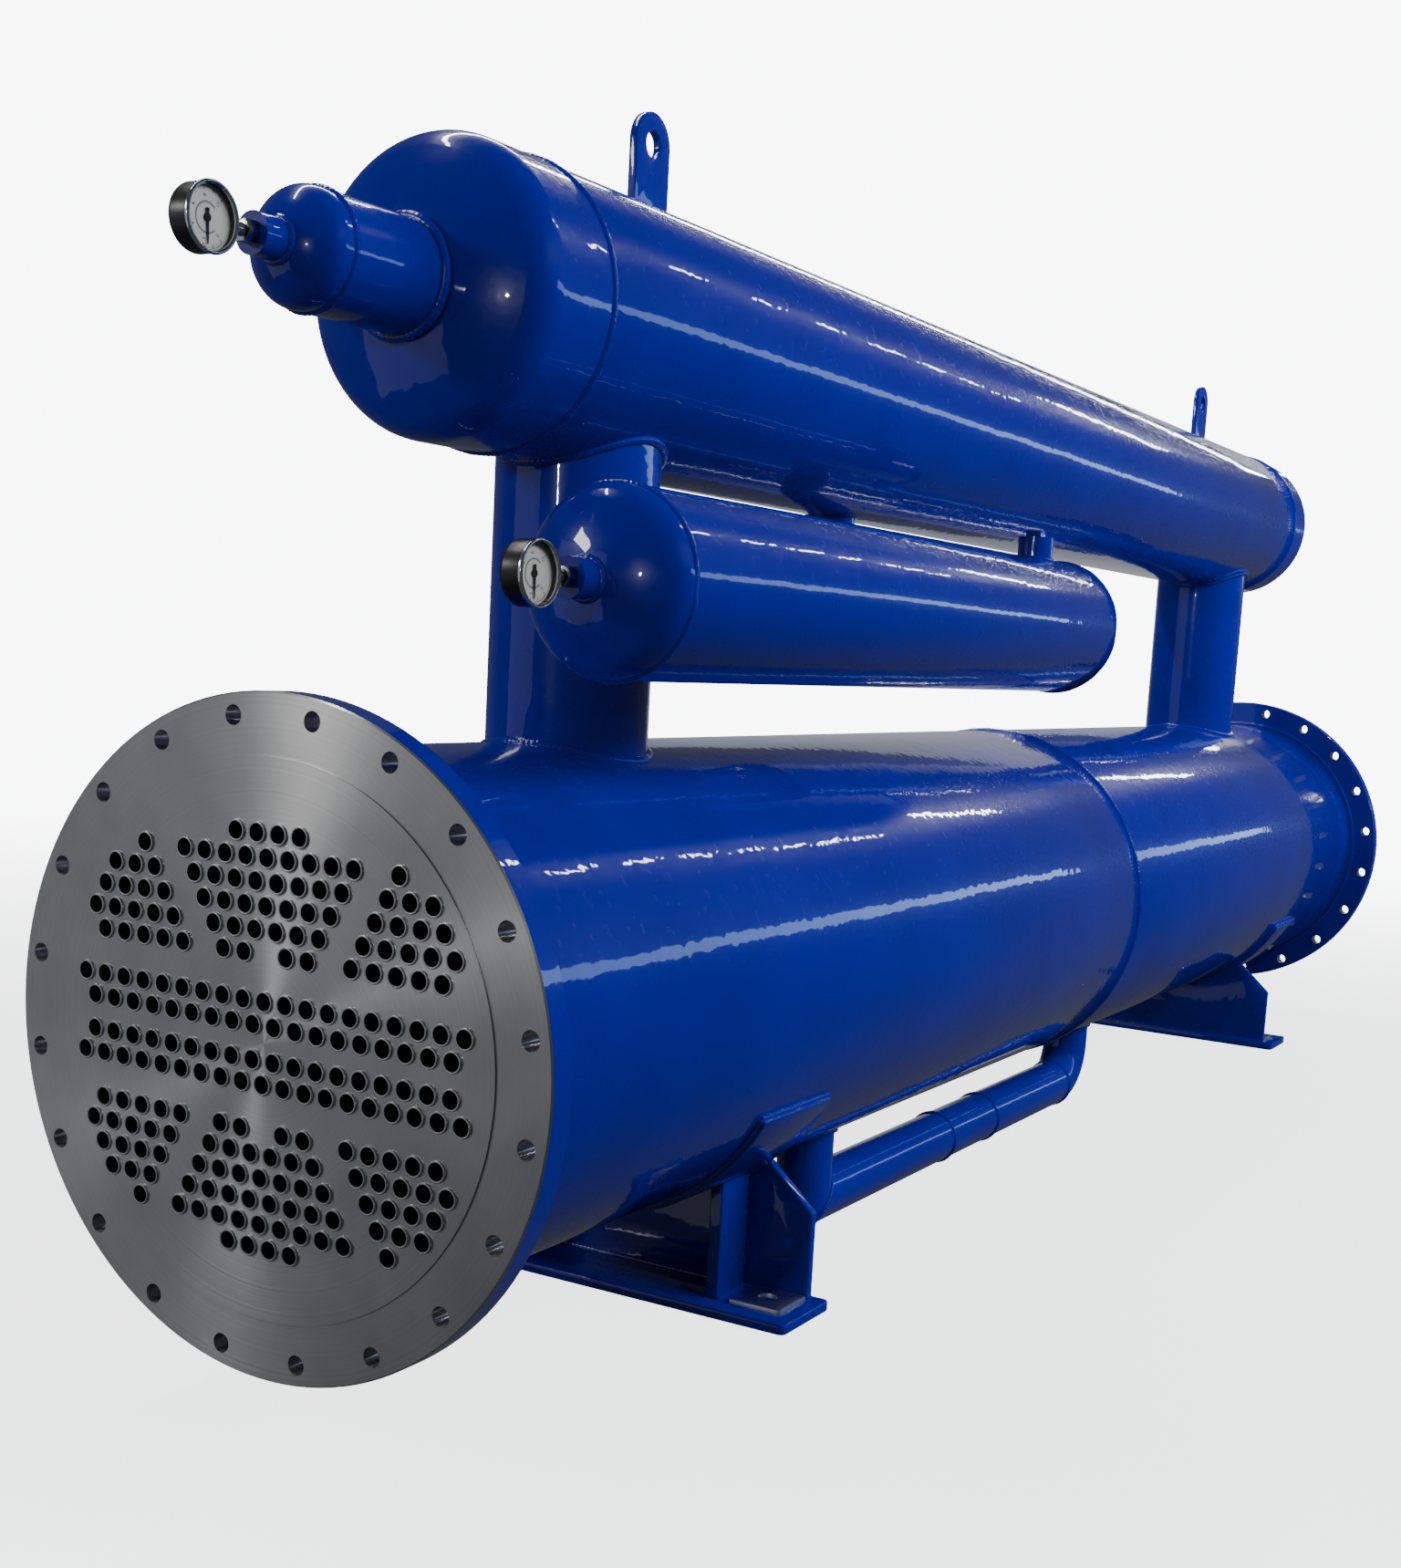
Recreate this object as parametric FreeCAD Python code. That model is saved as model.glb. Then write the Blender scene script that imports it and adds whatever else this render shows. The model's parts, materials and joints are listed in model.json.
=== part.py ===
"""Shell and tube heat exchanger with a surge drum and a side drum.

Frame: millimetres. The origin is on the floor, at the centre of the four foundation
bolt holes in the saddles. +X runs along the shell from the front tube sheet to the
rear one, +Z is up, and -Y is the side that the dials and the side drum face.
"""
import FreeCAD, Part
import math
import os

V = FreeCAD.Vector
AXIS_X = V(1, 0, 0)
AXIS_Y = V(0, 1, 0)
AXIS_Z = V(0, 0, 1)

# Shell: a rolled pipe in two courses.
SHELL_OD = 508.0
SHELL_WALL = 9.5
SHELL_ABOVE_FLOOR = 110.0    # its underside
SHELL_LENGTH = 3000.0        # between the inner faces of the tube sheets
SADDLE_MID_TO_FRONT = 1563.5  # from the middle of the saddles to the front sheet's inner face
COURSE_JOINT = 2.5           # girth joint of the two courses, from the middle of the saddles

# Tube sheets: discs with a raised machined face inside their bolt holes.
BOLT_CIRCLE_MARGIN = 28.5    # from the shell's outside to the bolt circle
BOLT_COUNT = 20
BOLT_HOLE = 18.0
SHEET_EDGE = 19.5            # from the bolt circle to the rim
SHEET_THICKNESS = 30.0
SHEET_FACE_MARGIN = 35.5     # from the bolt circle in to the raised face
SHEET_FACE_RAISE = 1.5
SHEET_RIM_CHAMFER = 1.5

# Tubes: expanded into both sheets, on a triangular pitch.
TUBE_OD = 19.05
TUBE_WALL = 1.83
TUBE_STICK_OUT = 2.0         # past the raised face
TUBE_PITCH = 24.0
ROW_PITCH = TUBE_PITCH * math.sqrt(3.0) / 2.0
TUBE_EDGE_GAP = 5.0          # least gap from a tube to the shell's bore
MIDDLE_LANE = 31.1           # between the two rows beside the centre line
SIDE_LANE = 41.3             # between the centre group and the outer groups
# Runs of tubes in each row, in pitches from the middle, from the centre line outwards.
CENTRE_ROWS = [[(0.5, 8.5)], [(0.0, 9.0)]]
OUTER_ROWS = [
    [(1.0, 2.0), (4.0, 8.0)],
    [(0.5, 2.5), (4.5, 8.5)],
    [(0.0, 3.0), (5.0, 8.0)],
    [(0.5, 3.5), (5.5, 7.5)],
    [(0.0, 4.0), (6.0, 6.0)],
    [(0.5, 1.5)],
]

# Surge drum: a pipe above the shell with a deep cap on each end.
DRUM_OD = 273.0
DRUM_WALL = 9.3
DRUM_GAP = 274.5             # between the shell's top and the drum's underside
DRUM_CAP_DOME = 58.0
DRUM_CAP_KNUCKLE = 34.0
DRUM_CAP_SKIRT = 80.0
DRUM_PIPE_LENGTH = 2480.0
RISER_MID = -68.5            # middle of the risers and the drum, from the middle of the saddles
RISER_SPACING = 2180.0
RISER_OD = 168.3
RISER_WALL = 7.1

# Gauge pot: a capped pipe on the middle of the surge drum's front cap.
POT_OD = 101.6
POT_WALL = 5.7
POT_REACH = 155.0            # from the drum cap's crown to the crown of the pot's cap
POT_CAP_DOME = 33.0
POT_CAP_KNUCKLE = 22.0
POT_CAP_SKIRT = 9.0

# Side drum: a shorter pipe beside the risers, with shallow caps.
SIDE_DRUM_OD = 168.3
SIDE_DRUM_WALL = 7.1
SIDE_DRUM_ASIDE = 223.0      # from the middle plane, towards -Y
SIDE_DRUM_RISE = 155.0       # its axis, above the shell's top
SIDE_DRUM_LENGTH = 1057.0    # between its caps
SIDE_DRUM_START = 263.0      # front end of its pipe, ahead of the front riser's axis
SIDE_DRUM_CAP_DOME = 42.0
SIDE_DRUM_CAP_KNUCKLE = 29.0
SIDE_DRUM_CAP_SKIRT = 0.0
LINK_OD = 60.3
LINK_WALL = 3.9
LINK_BEND = 51.0
REAR_LINK_FROM_RISER = 565.0
BOSS_OD = 44.0
BOSS_BORE = 27.0
BOSS_HEIGHT = 26.0
PLUG_HEAD = 20.0             # across the square head's flats
PLUG_HEAD_HEIGHT = 8.0
PLUG_DEPTH = 20.0
BOSS_FROM_REAR = 90.0        # from the rear end of the side drum's pipe

# Gauges: a boss on a cap's crown, a threaded stem and a round case that faces -Y.
GAUGE_BOSS_OD = 35.0
GAUGE_BOSS_BORE = 14.4
GAUGE_BOSS_LENGTH = 26.0
STEM_SHANK_OD = 14.0
STEM_SHANK_LENGTH = 14.0
STEM_HEX = 17.0              # across flats
STEM_HEX_LENGTH = 12.0
STEM_NECK_OD = 11.0
STEM_REACH = 27.0            # from the boss to the case
CASE_OD = 54.0
CASE_WALL = 1.6
CASE_DEPTH = 20.0
BEZEL_OD = 56.0
BEZEL_ID = 49.0
BEZEL_DEPTH = 3.5
DIAL_THICKNESS = 0.8
DIAL_SINK = 4.5              # from the case's rim to the dial's face
WINDOW_THICKNESS = 1.5
POINTER_HUB_OD = 4.0
POINTER_HUB_HEIGHT = 1.6
POINTER_LENGTH = 20.0
POINTER_TAIL = 6.0
POINTER_WIDTH = 1.4
POINTER_THICKNESS = 0.6

# Lifting lugs on top of the surge drum.
LUG_WIDTH = 64.0
LUG_THICKNESS = 10.0
LUG_HOLE = 27.0
LUG_HOLE_ABOVE_DRUM = 69.0
LUG_SPACING = 1971.0

# Bottom pipe loop, under the shell and a little to the -Y side.
LOOP_OD = 70.0
LOOP_WALL = 5.0
LOOP_ASIDE = 85.0
LOOP_DROP = 62.0             # its run's axis, below the shell's underside
LOOP_FRONT = -723.5          # front leg's axis, from the middle of the saddles
LOOP_LENGTH = 923.0          # between the legs' axes
LOOP_BEND = 60.0

# Saddles: base plate, upright web, two ribs and a wrapper plate each.
SADDLE_SPACING = 1995.0      # between the two rows of foundation bolts
FOOT_BOLT_SPREAD = 378.0     # between the two bolts of one saddle
FOOT_BOLT_HOLE = 22.0
BASE_LENGTH = 484.0
BASE_THICKNESS = 12.0
BASE_OUTBOARD = 59.0         # base plate's edges, from the bolt row
BASE_INBOARD = 49.0
BASE_CORNER = 8.0
WEB_THICKNESS = 12.0
WEB_FROM_BOLTS = 29.0        # outer face of the web, inboard of the bolt row
WEB_WIDTH = 446.0
WEB_SIDE_HEIGHT = 99.0       # straight side above the base plate
WEB_NECK_WIDTH = 332.0       # where the web meets the wrapper
WRAP_THICKNESS = 8.0
WRAP_OUTBOARD = 106.0
WRAP_INBOARD = 44.0
WRAP_DOWN_ANGLE = 28.0       # its upper edges, below level
RIB_THICKNESS = 16.0
RIB_ASIDE = 135.0
RIB_OUTBOARD = 31.0

SHELL_R = SHELL_OD / 2.0
SHELL_AXIS_HEIGHT = SHELL_ABOVE_FLOOR + SHELL_R
BOLT_CIRCLE_R = SHELL_R + BOLT_CIRCLE_MARGIN
SHEET_R = BOLT_CIRCLE_R + SHEET_EDGE
SHEET_FACE_R = BOLT_CIRCLE_R - SHEET_FACE_MARGIN
DRUM_R = DRUM_OD / 2.0
DRUM_ABOVE_SHELL = SHELL_R + DRUM_GAP + DRUM_R
LOOP_BELOW_SHELL = SHELL_R + LOOP_DROP
SIDE_DRUM_R = SIDE_DRUM_OD / 2.0
RISER_R = RISER_OD / 2.0
FRONT_SHEET_X = -SADDLE_MID_TO_FRONT
REAR_SHEET_X = FRONT_SHEET_X + SHELL_LENGTH
DRUM_Z = SHELL_AXIS_HEIGHT + DRUM_ABOVE_SHELL
SIDE_DRUM_Z = SHELL_AXIS_HEIGHT + SHELL_R + SIDE_DRUM_RISE
LOOP_Z = SHELL_AXIS_HEIGHT - LOOP_BELOW_SHELL
FRONT_RISER_X = RISER_MID - RISER_SPACING / 2.0
REAR_RISER_X = RISER_MID + RISER_SPACING / 2.0
DRUM_FRONT_X = RISER_MID - DRUM_PIPE_LENGTH / 2.0
DRUM_REAR_X = RISER_MID + DRUM_PIPE_LENGTH / 2.0
SIDE_DRUM_FRONT_X = FRONT_RISER_X - SIDE_DRUM_START
SIDE_DRUM_REAR_X = SIDE_DRUM_FRONT_X + SIDE_DRUM_LENGTH
DRUM_CAP = (DRUM_R, DRUM_CAP_DOME, DRUM_CAP_KNUCKLE, DRUM_CAP_SKIRT)
POT_CAP = (POT_OD / 2.0, POT_CAP_DOME, POT_CAP_KNUCKLE, POT_CAP_SKIRT)
SIDE_CAP = (SIDE_DRUM_R, SIDE_DRUM_CAP_DOME, SIDE_DRUM_CAP_KNUCKLE, SIDE_DRUM_CAP_SKIRT)
LINK_R = LINK_OD / 2.0
LINK_BORE_R = LINK_R - LINK_WALL
OVER = 1.0                   # how far a cutter runs past what it cuts


def save(name, shape):
    """Write one node. A shape of one solid is written as that solid."""
    solids = shape.Solids
    out = solids[0] if len(solids) == 1 else Part.makeCompound(solids)
    out.exportStep("parts/" + name + ".step")


def rod(radius, start, direction, length):
    return Part.makeCylinder(radius, length, start, direction)


def pipe(outer_r, bore_r, start, direction, length):
    return rod(outer_r, start, direction, length).cut(rod(bore_r, start, direction, length))


def shell_blank():
    """The shell's outside as one solid bar, to shape what is welded onto it."""
    start = V(FRONT_SHEET_X, 0, SHELL_AXIS_HEIGHT)
    return rod(SHELL_R, start, AXIS_X, SHELL_LENGTH)


def drum_blank():
    start = V(DRUM_FRONT_X, 0, DRUM_Z)
    return rod(DRUM_R, start, AXIS_X, DRUM_PIPE_LENGTH)


def side_drum_blank():
    start = V(SIDE_DRUM_FRONT_X, -SIDE_DRUM_ASIDE, SIDE_DRUM_Z)
    return rod(SIDE_DRUM_R, start, AXIS_X, SIDE_DRUM_LENGTH)


def cap_blank(sizes, joint, way):
    """A dished cap's outside: skirt, knuckle and crown, from its joint towards way."""
    radius, dome, knuckle, skirt = sizes
    hub_r = radius - knuckle
    crown_r = (dome ** 2 + hub_r ** 2 - knuckle ** 2) / (2.0 * (dome - knuckle))
    crown_centre = V(way * (skirt + dome - crown_r), 0, 0)
    knuckle_centre = V(way * skirt, hub_r, 0)
    outward = (knuckle_centre - crown_centre).normalize()
    meeting = crown_centre + outward * crown_r
    half_crown = (outward + AXIS_X * way).normalize()
    half_knuckle = (outward + AXIS_Y).normalize()
    rim = V(way * skirt, radius, 0)
    crown = V(way * (skirt + dome), 0, 0)
    edges = [
        Part.Arc(rim, knuckle_centre + half_knuckle * knuckle, meeting).toShape(),
        Part.Arc(meeting, crown_centre + half_crown * crown_r, crown).toShape(),
        Part.makeLine(V(0, 0, 0), crown),
        Part.makeLine(V(0, 0, 0), V(0, radius, 0)),
    ]
    if skirt > 0:
        edges.append(Part.makeLine(V(0, radius, 0), rim))
    wire = Part.Wire(Part.__sortEdges__(edges))
    body = Part.Face(wire).revolve(V(0, 0, 0), AXIS_X, 360)
    body.translate(joint)
    return body


def cap(sizes, wall, joint, way):
    radius, dome, knuckle, skirt = sizes
    inside = (radius - wall, dome - wall, knuckle - wall, skirt)
    return cap_blank(sizes, joint, way).cut(cap_blank(inside, joint, way))


def bolt_holes(start_x, length):
    """Cutters for the flange bolts, evenly spaced and clear of the vertical plane."""
    cutters = []
    for number in range(BOLT_COUNT):
        angle = 2.0 * math.pi * (number + 0.5) / BOLT_COUNT
        y = BOLT_CIRCLE_R * math.cos(angle)
        z = SHELL_AXIS_HEIGHT + BOLT_CIRCLE_R * math.sin(angle)
        cutters.append(rod(BOLT_HOLE / 2.0, V(start_x, y, z), AXIS_X, length))
    return cutters


def row_places(runs):
    """Places along one row, in pitches, on both sides of the middle."""
    places = set()
    for first, last in runs:
        for step in range(int(round(last - first)) + 1):
            places.add(first + step)
            places.add(-(first + step))
    return sorted(places)


def tube_centres():
    """Every tube's Y and height that fits the bore, the lower half mirroring the upper."""
    farthest = SHELL_R - SHELL_WALL - TUBE_EDGE_GAP - TUBE_OD / 2.0
    heights = []
    for number, runs in enumerate(CENTRE_ROWS):
        heights.append((MIDDLE_LANE / 2.0 + number * ROW_PITCH, runs))
    outer_start = heights[-1][0] + SIDE_LANE
    for number, runs in enumerate(OUTER_ROWS):
        heights.append((outer_start + number * ROW_PITCH, runs))
    centres = []
    for height, runs in heights:
        for place in row_places(runs):
            aside = place * TUBE_PITCH
            if math.hypot(aside, height) > farthest:
                continue
            for side in (1, -1):
                centres.append((aside, SHELL_AXIS_HEIGHT + side * height))
    return centres


def tube_sheet(inner_x, way):
    """A sheet from its inner face towards way: disc, raised face, tube and bolt holes."""
    low_face = inner_x + way * (SHEET_THICKNESS - SHEET_FACE_RAISE)
    axis = V(way, 0, 0)
    disc = rod(SHEET_R, V(inner_x, 0, SHELL_AXIS_HEIGHT), axis,
               SHEET_THICKNESS - SHEET_FACE_RAISE)
    rims = [edge for edge in disc.Edges
            if abs(edge.BoundBox.XMax - edge.BoundBox.XMin) < 0.01]
    disc = disc.makeChamfer(SHEET_RIM_CHAMFER, rims)
    face = rod(SHEET_FACE_R, V(low_face, 0, SHELL_AXIS_HEIGHT), axis, SHEET_FACE_RAISE)
    sheet = disc.fuse(face)
    first_x = min(inner_x, inner_x + way * SHEET_THICKNESS) - OVER
    length = SHEET_THICKNESS + 2.0 * OVER
    cutters = bolt_holes(first_x, length)
    for y, z in tube_centres():
        cutters.append(rod(TUBE_OD / 2.0, V(first_x, y, z), AXIS_X, length))
    return sheet.cut(Part.makeCompound(cutters))


def tube_bundle():
    start_x = FRONT_SHEET_X - SHEET_THICKNESS - TUBE_STICK_OUT
    length = SHELL_LENGTH + 2.0 * (SHEET_THICKNESS + TUBE_STICK_OUT)
    tubes = []
    for y, z in tube_centres():
        tubes.append(pipe(TUBE_OD / 2.0, TUBE_OD / 2.0 - TUBE_WALL, V(start_x, y, z),
                          AXIS_X, length))
    return Part.makeCompound(tubes)


def shell_course(first_x, last_x, cutters):
    start = V(first_x, 0, SHELL_AXIS_HEIGHT)
    course = pipe(SHELL_R, SHELL_R - SHELL_WALL, start, AXIS_X, last_x - first_x)
    for cutter in cutters:
        course = course.cut(cutter)
    return course


def riser_bore(x):
    start = V(x, 0, SHELL_AXIS_HEIGHT)
    return rod(RISER_R - RISER_WALL, start, AXIS_Z, DRUM_ABOVE_SHELL)


def riser(x):
    start = V(x, 0, SHELL_AXIS_HEIGHT)
    column = pipe(RISER_R, RISER_R - RISER_WALL, start, AXIS_Z, DRUM_ABOVE_SHELL)
    return column.cut(shell_blank()).cut(drum_blank())


def loop_leg_bore(x):
    start = V(x, -LOOP_ASIDE, LOOP_Z)
    return rod(LOOP_OD / 2.0 - LOOP_WALL, start, AXIS_Z, LOOP_BELOW_SHELL)


def swept_bend(outer_r, bore_r, corner, first_way, last_way, bend):
    """A pipe bend about a corner, from the run that comes along first_way."""
    first = corner - first_way * bend
    last = corner + last_way * bend
    centre = first + last_way * bend
    middle = centre + (corner - centre).normalize() * bend
    path = Part.Wire([Part.Arc(first, middle, last).toShape()])
    solids = []
    for radius in (outer_r, bore_r):
        ring = Part.Wire([Part.makeCircle(radius, first, first_way)])
        solids.append(path.makePipeShell([ring], True, False))
    return solids[0].cut(solids[1])


def bottom_loop():
    """Front leg, run and rear leg with its bend. The front corner is a mitre."""
    outer_r = LOOP_OD / 2.0
    bore_r = outer_r - LOOP_WALL
    front = V(LOOP_FRONT, -LOOP_ASIDE, LOOP_Z)
    rear = V(LOOP_FRONT + LOOP_LENGTH, -LOOP_ASIDE, LOOP_Z)
    reach = outer_r + OVER
    leg = pipe(outer_r, bore_r, front - AXIS_Z * reach, AXIS_Z, LOOP_BELOW_SHELL + reach)
    run = pipe(outer_r, bore_r, front - AXIS_X * reach, AXIS_X, LOOP_LENGTH - LOOP_BEND + reach)
    # The mitre plane falls from the front corner towards +X: the leg keeps what is above it.
    half = 4.0 * LOOP_OD
    wedge = Part.makeBox(half, 2.0 * half, 2.0 * half, V(0, -half, -half))
    wedge.rotate(V(0, 0, 0), AXIS_Y, 45)
    wedge.translate(front)
    leg = leg.cut(wedge)
    run = run.common(wedge.fuse(Part.makeBox(LOOP_LENGTH, 2.0 * outer_r, 2.0 * outer_r,
                                             front + V(outer_r, -outer_r, -outer_r))))
    leg = leg.cut(shell_blank())
    bend = swept_bend(outer_r, bore_r, rear, AXIS_X, AXIS_Z, LOOP_BEND)
    rise = pipe(outer_r, bore_r, rear + AXIS_Z * LOOP_BEND, AXIS_Z, LOOP_BELOW_SHELL - LOOP_BEND)
    rear_leg = bend.fuse(rise.cut(shell_blank())).removeSplitter()
    return leg, run, rear_leg


def front_link():
    """Level pipe from the front riser to the side drum."""
    start = V(FRONT_RISER_X, 0, SIDE_DRUM_Z)
    stub = pipe(LINK_R, LINK_BORE_R, start, -AXIS_Y, SIDE_DRUM_ASIDE)
    column = rod(RISER_R, V(FRONT_RISER_X, 0, SHELL_AXIS_HEIGHT), AXIS_Z, DRUM_ABOVE_SHELL)
    return stub.cut(column).cut(side_drum_blank())


def link_bores():
    """Cutters for the holes that the two links open into."""
    rear_x = FRONT_RISER_X + REAR_LINK_FROM_RISER
    front = rod(LINK_BORE_R, V(FRONT_RISER_X, 0, SIDE_DRUM_Z), -AXIS_Y, SIDE_DRUM_ASIDE)
    rear_side = rod(LINK_BORE_R, V(rear_x, 0, SIDE_DRUM_Z), -AXIS_Y, SIDE_DRUM_ASIDE)
    rear_up = rod(LINK_BORE_R, V(rear_x, 0, SIDE_DRUM_Z), AXIS_Z, DRUM_Z - SIDE_DRUM_Z)
    return front, rear_side, rear_up


def rear_link():
    """Pipe that drops from the surge drum and turns into the back of the side drum."""
    corner = V(FRONT_RISER_X + REAR_LINK_FROM_RISER, 0, SIDE_DRUM_Z)
    drop = pipe(LINK_R, LINK_BORE_R, corner + AXIS_Z * LINK_BEND, AXIS_Z,
                DRUM_Z - SIDE_DRUM_Z - LINK_BEND)
    bend = swept_bend(LINK_R, LINK_BORE_R, corner, -AXIS_Z, -AXIS_Y, LINK_BEND)
    level = pipe(LINK_R, LINK_BORE_R, corner - AXIS_Y * LINK_BEND, -AXIS_Y,
                 SIDE_DRUM_ASIDE - LINK_BEND)
    drop = drop.cut(drum_blank())
    level = level.cut(side_drum_blank())
    return drop.fuse(bend).fuse(level).removeSplitter()


def side_boss():
    """Plain boss on top of the side drum, near its rear end."""
    x = SIDE_DRUM_REAR_X - BOSS_FROM_REAR
    start = V(x, -SIDE_DRUM_ASIDE, SIDE_DRUM_Z)
    body = pipe(BOSS_OD / 2.0, BOSS_BORE / 2.0, start, AXIS_Z, SIDE_DRUM_R + BOSS_HEIGHT)
    return body.cut(side_drum_blank())


def side_plug():
    """Square-headed plug in the boss. Its round body fills the boss's bore."""
    x = SIDE_DRUM_REAR_X - BOSS_FROM_REAR
    mouth = V(x, -SIDE_DRUM_ASIDE, SIDE_DRUM_Z + SIDE_DRUM_R + BOSS_HEIGHT)
    body = rod(BOSS_BORE / 2.0, mouth, -AXIS_Z, PLUG_DEPTH)
    corner = mouth - V(PLUG_HEAD / 2.0, PLUG_HEAD / 2.0, 0)
    head = Part.makeBox(PLUG_HEAD, PLUG_HEAD, PLUG_HEAD_HEIGHT, corner)
    return body.fuse(head)


def hexagon(across_flats, start, direction, length):
    corner_r = across_flats / math.sqrt(3.0)
    points = []
    for number in range(7):
        angle = math.pi * number / 3.0
        points.append(V(0, corner_r * math.cos(angle), corner_r * math.sin(angle)))
    body = Part.Face(Part.makePolygon(points)).extrude(V(direction.x * length, 0, 0))
    body.translate(start)
    return body


def gauge(crown, cap_solid):
    """One gauge's nodes, from the crown of the cap that its boss is welded to."""
    ahead = V(-1, 0, 0)
    boss_root = crown + V(GAUGE_BOSS_OD / 2.0, 0, 0)
    boss = pipe(GAUGE_BOSS_OD / 2.0, GAUGE_BOSS_BORE / 2.0, boss_root, ahead,
                GAUGE_BOSS_LENGTH + GAUGE_BOSS_OD / 2.0).cut(cap_solid)
    boss_end = crown + ahead * GAUGE_BOSS_LENGTH
    centre = boss_end + ahead * (STEM_REACH + CASE_OD / 2.0)
    shank = rod(STEM_SHANK_OD / 2.0, boss_end, AXIS_X, STEM_SHANK_LENGTH)
    nut = hexagon(STEM_HEX, boss_end, ahead, STEM_HEX_LENGTH)
    neck = rod(STEM_NECK_OD / 2.0, boss_end, ahead, STEM_REACH + CASE_OD / 4.0)
    back = centre + V(0, CASE_DEPTH / 2.0, 0)
    case_blank = rod(CASE_OD / 2.0, back, -AXIS_Y, CASE_DEPTH)
    stem = shank.fuse(nut).fuse(neck.cut(case_blank)).removeSplitter()
    inner_r = CASE_OD / 2.0 - CASE_WALL
    case = case_blank.cut(rod(inner_r, back - V(0, CASE_WALL, 0), -AXIS_Y, CASE_DEPTH))
    rim = centre - V(0, CASE_DEPTH / 2.0, 0)
    bezel = pipe(BEZEL_OD / 2.0, BEZEL_ID / 2.0, rim, -AXIS_Y, BEZEL_DEPTH)
    window = rod(inner_r, rim + V(0, WINDOW_THICKNESS, 0), -AXIS_Y, WINDOW_THICKNESS)
    dial_back = rim + V(0, DIAL_SINK + DIAL_THICKNESS, 0)
    dial = rod(inner_r, dial_back, -AXIS_Y, DIAL_THICKNESS)
    dial_face = rim + V(0, DIAL_SINK, 0)
    hub = rod(POINTER_HUB_OD / 2.0, dial_face, -AXIS_Y, POINTER_HUB_HEIGHT)
    blade_back = dial_face.y - POINTER_HUB_HEIGHT + POINTER_THICKNESS
    blade = Part.makeBox(POINTER_WIDTH, POINTER_THICKNESS, POINTER_LENGTH + POINTER_TAIL,
                         V(centre.x - POINTER_WIDTH / 2.0, blade_back - POINTER_THICKNESS,
                           centre.z - POINTER_LENGTH))
    pointer = hub.fuse(blade)
    return {"boss": boss, "stem": stem, "case": case, "bezel": bezel, "window": window,
            "dial": dial, "pointer": pointer}


def lug(x):
    """Round-topped plate with an eye, standing on the surge drum along its axis."""
    drum_top = DRUM_Z + DRUM_R
    eye_z = drum_top + LUG_HOLE_ABOVE_DRUM
    plate = Part.makeBox(LUG_WIDTH, LUG_THICKNESS, LUG_HOLE_ABOVE_DRUM + DRUM_WALL,
                         V(x - LUG_WIDTH / 2.0, -LUG_THICKNESS / 2.0, drum_top - DRUM_WALL))
    eye = V(x, -LUG_THICKNESS / 2.0, eye_z)
    plate = plate.fuse(rod(LUG_WIDTH / 2.0, eye, AXIS_Y, LUG_THICKNESS))
    plate = plate.cut(rod(LUG_HOLE / 2.0, eye, AXIS_Y, LUG_THICKNESS))
    return plate.cut(drum_blank()).removeSplitter()


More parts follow.
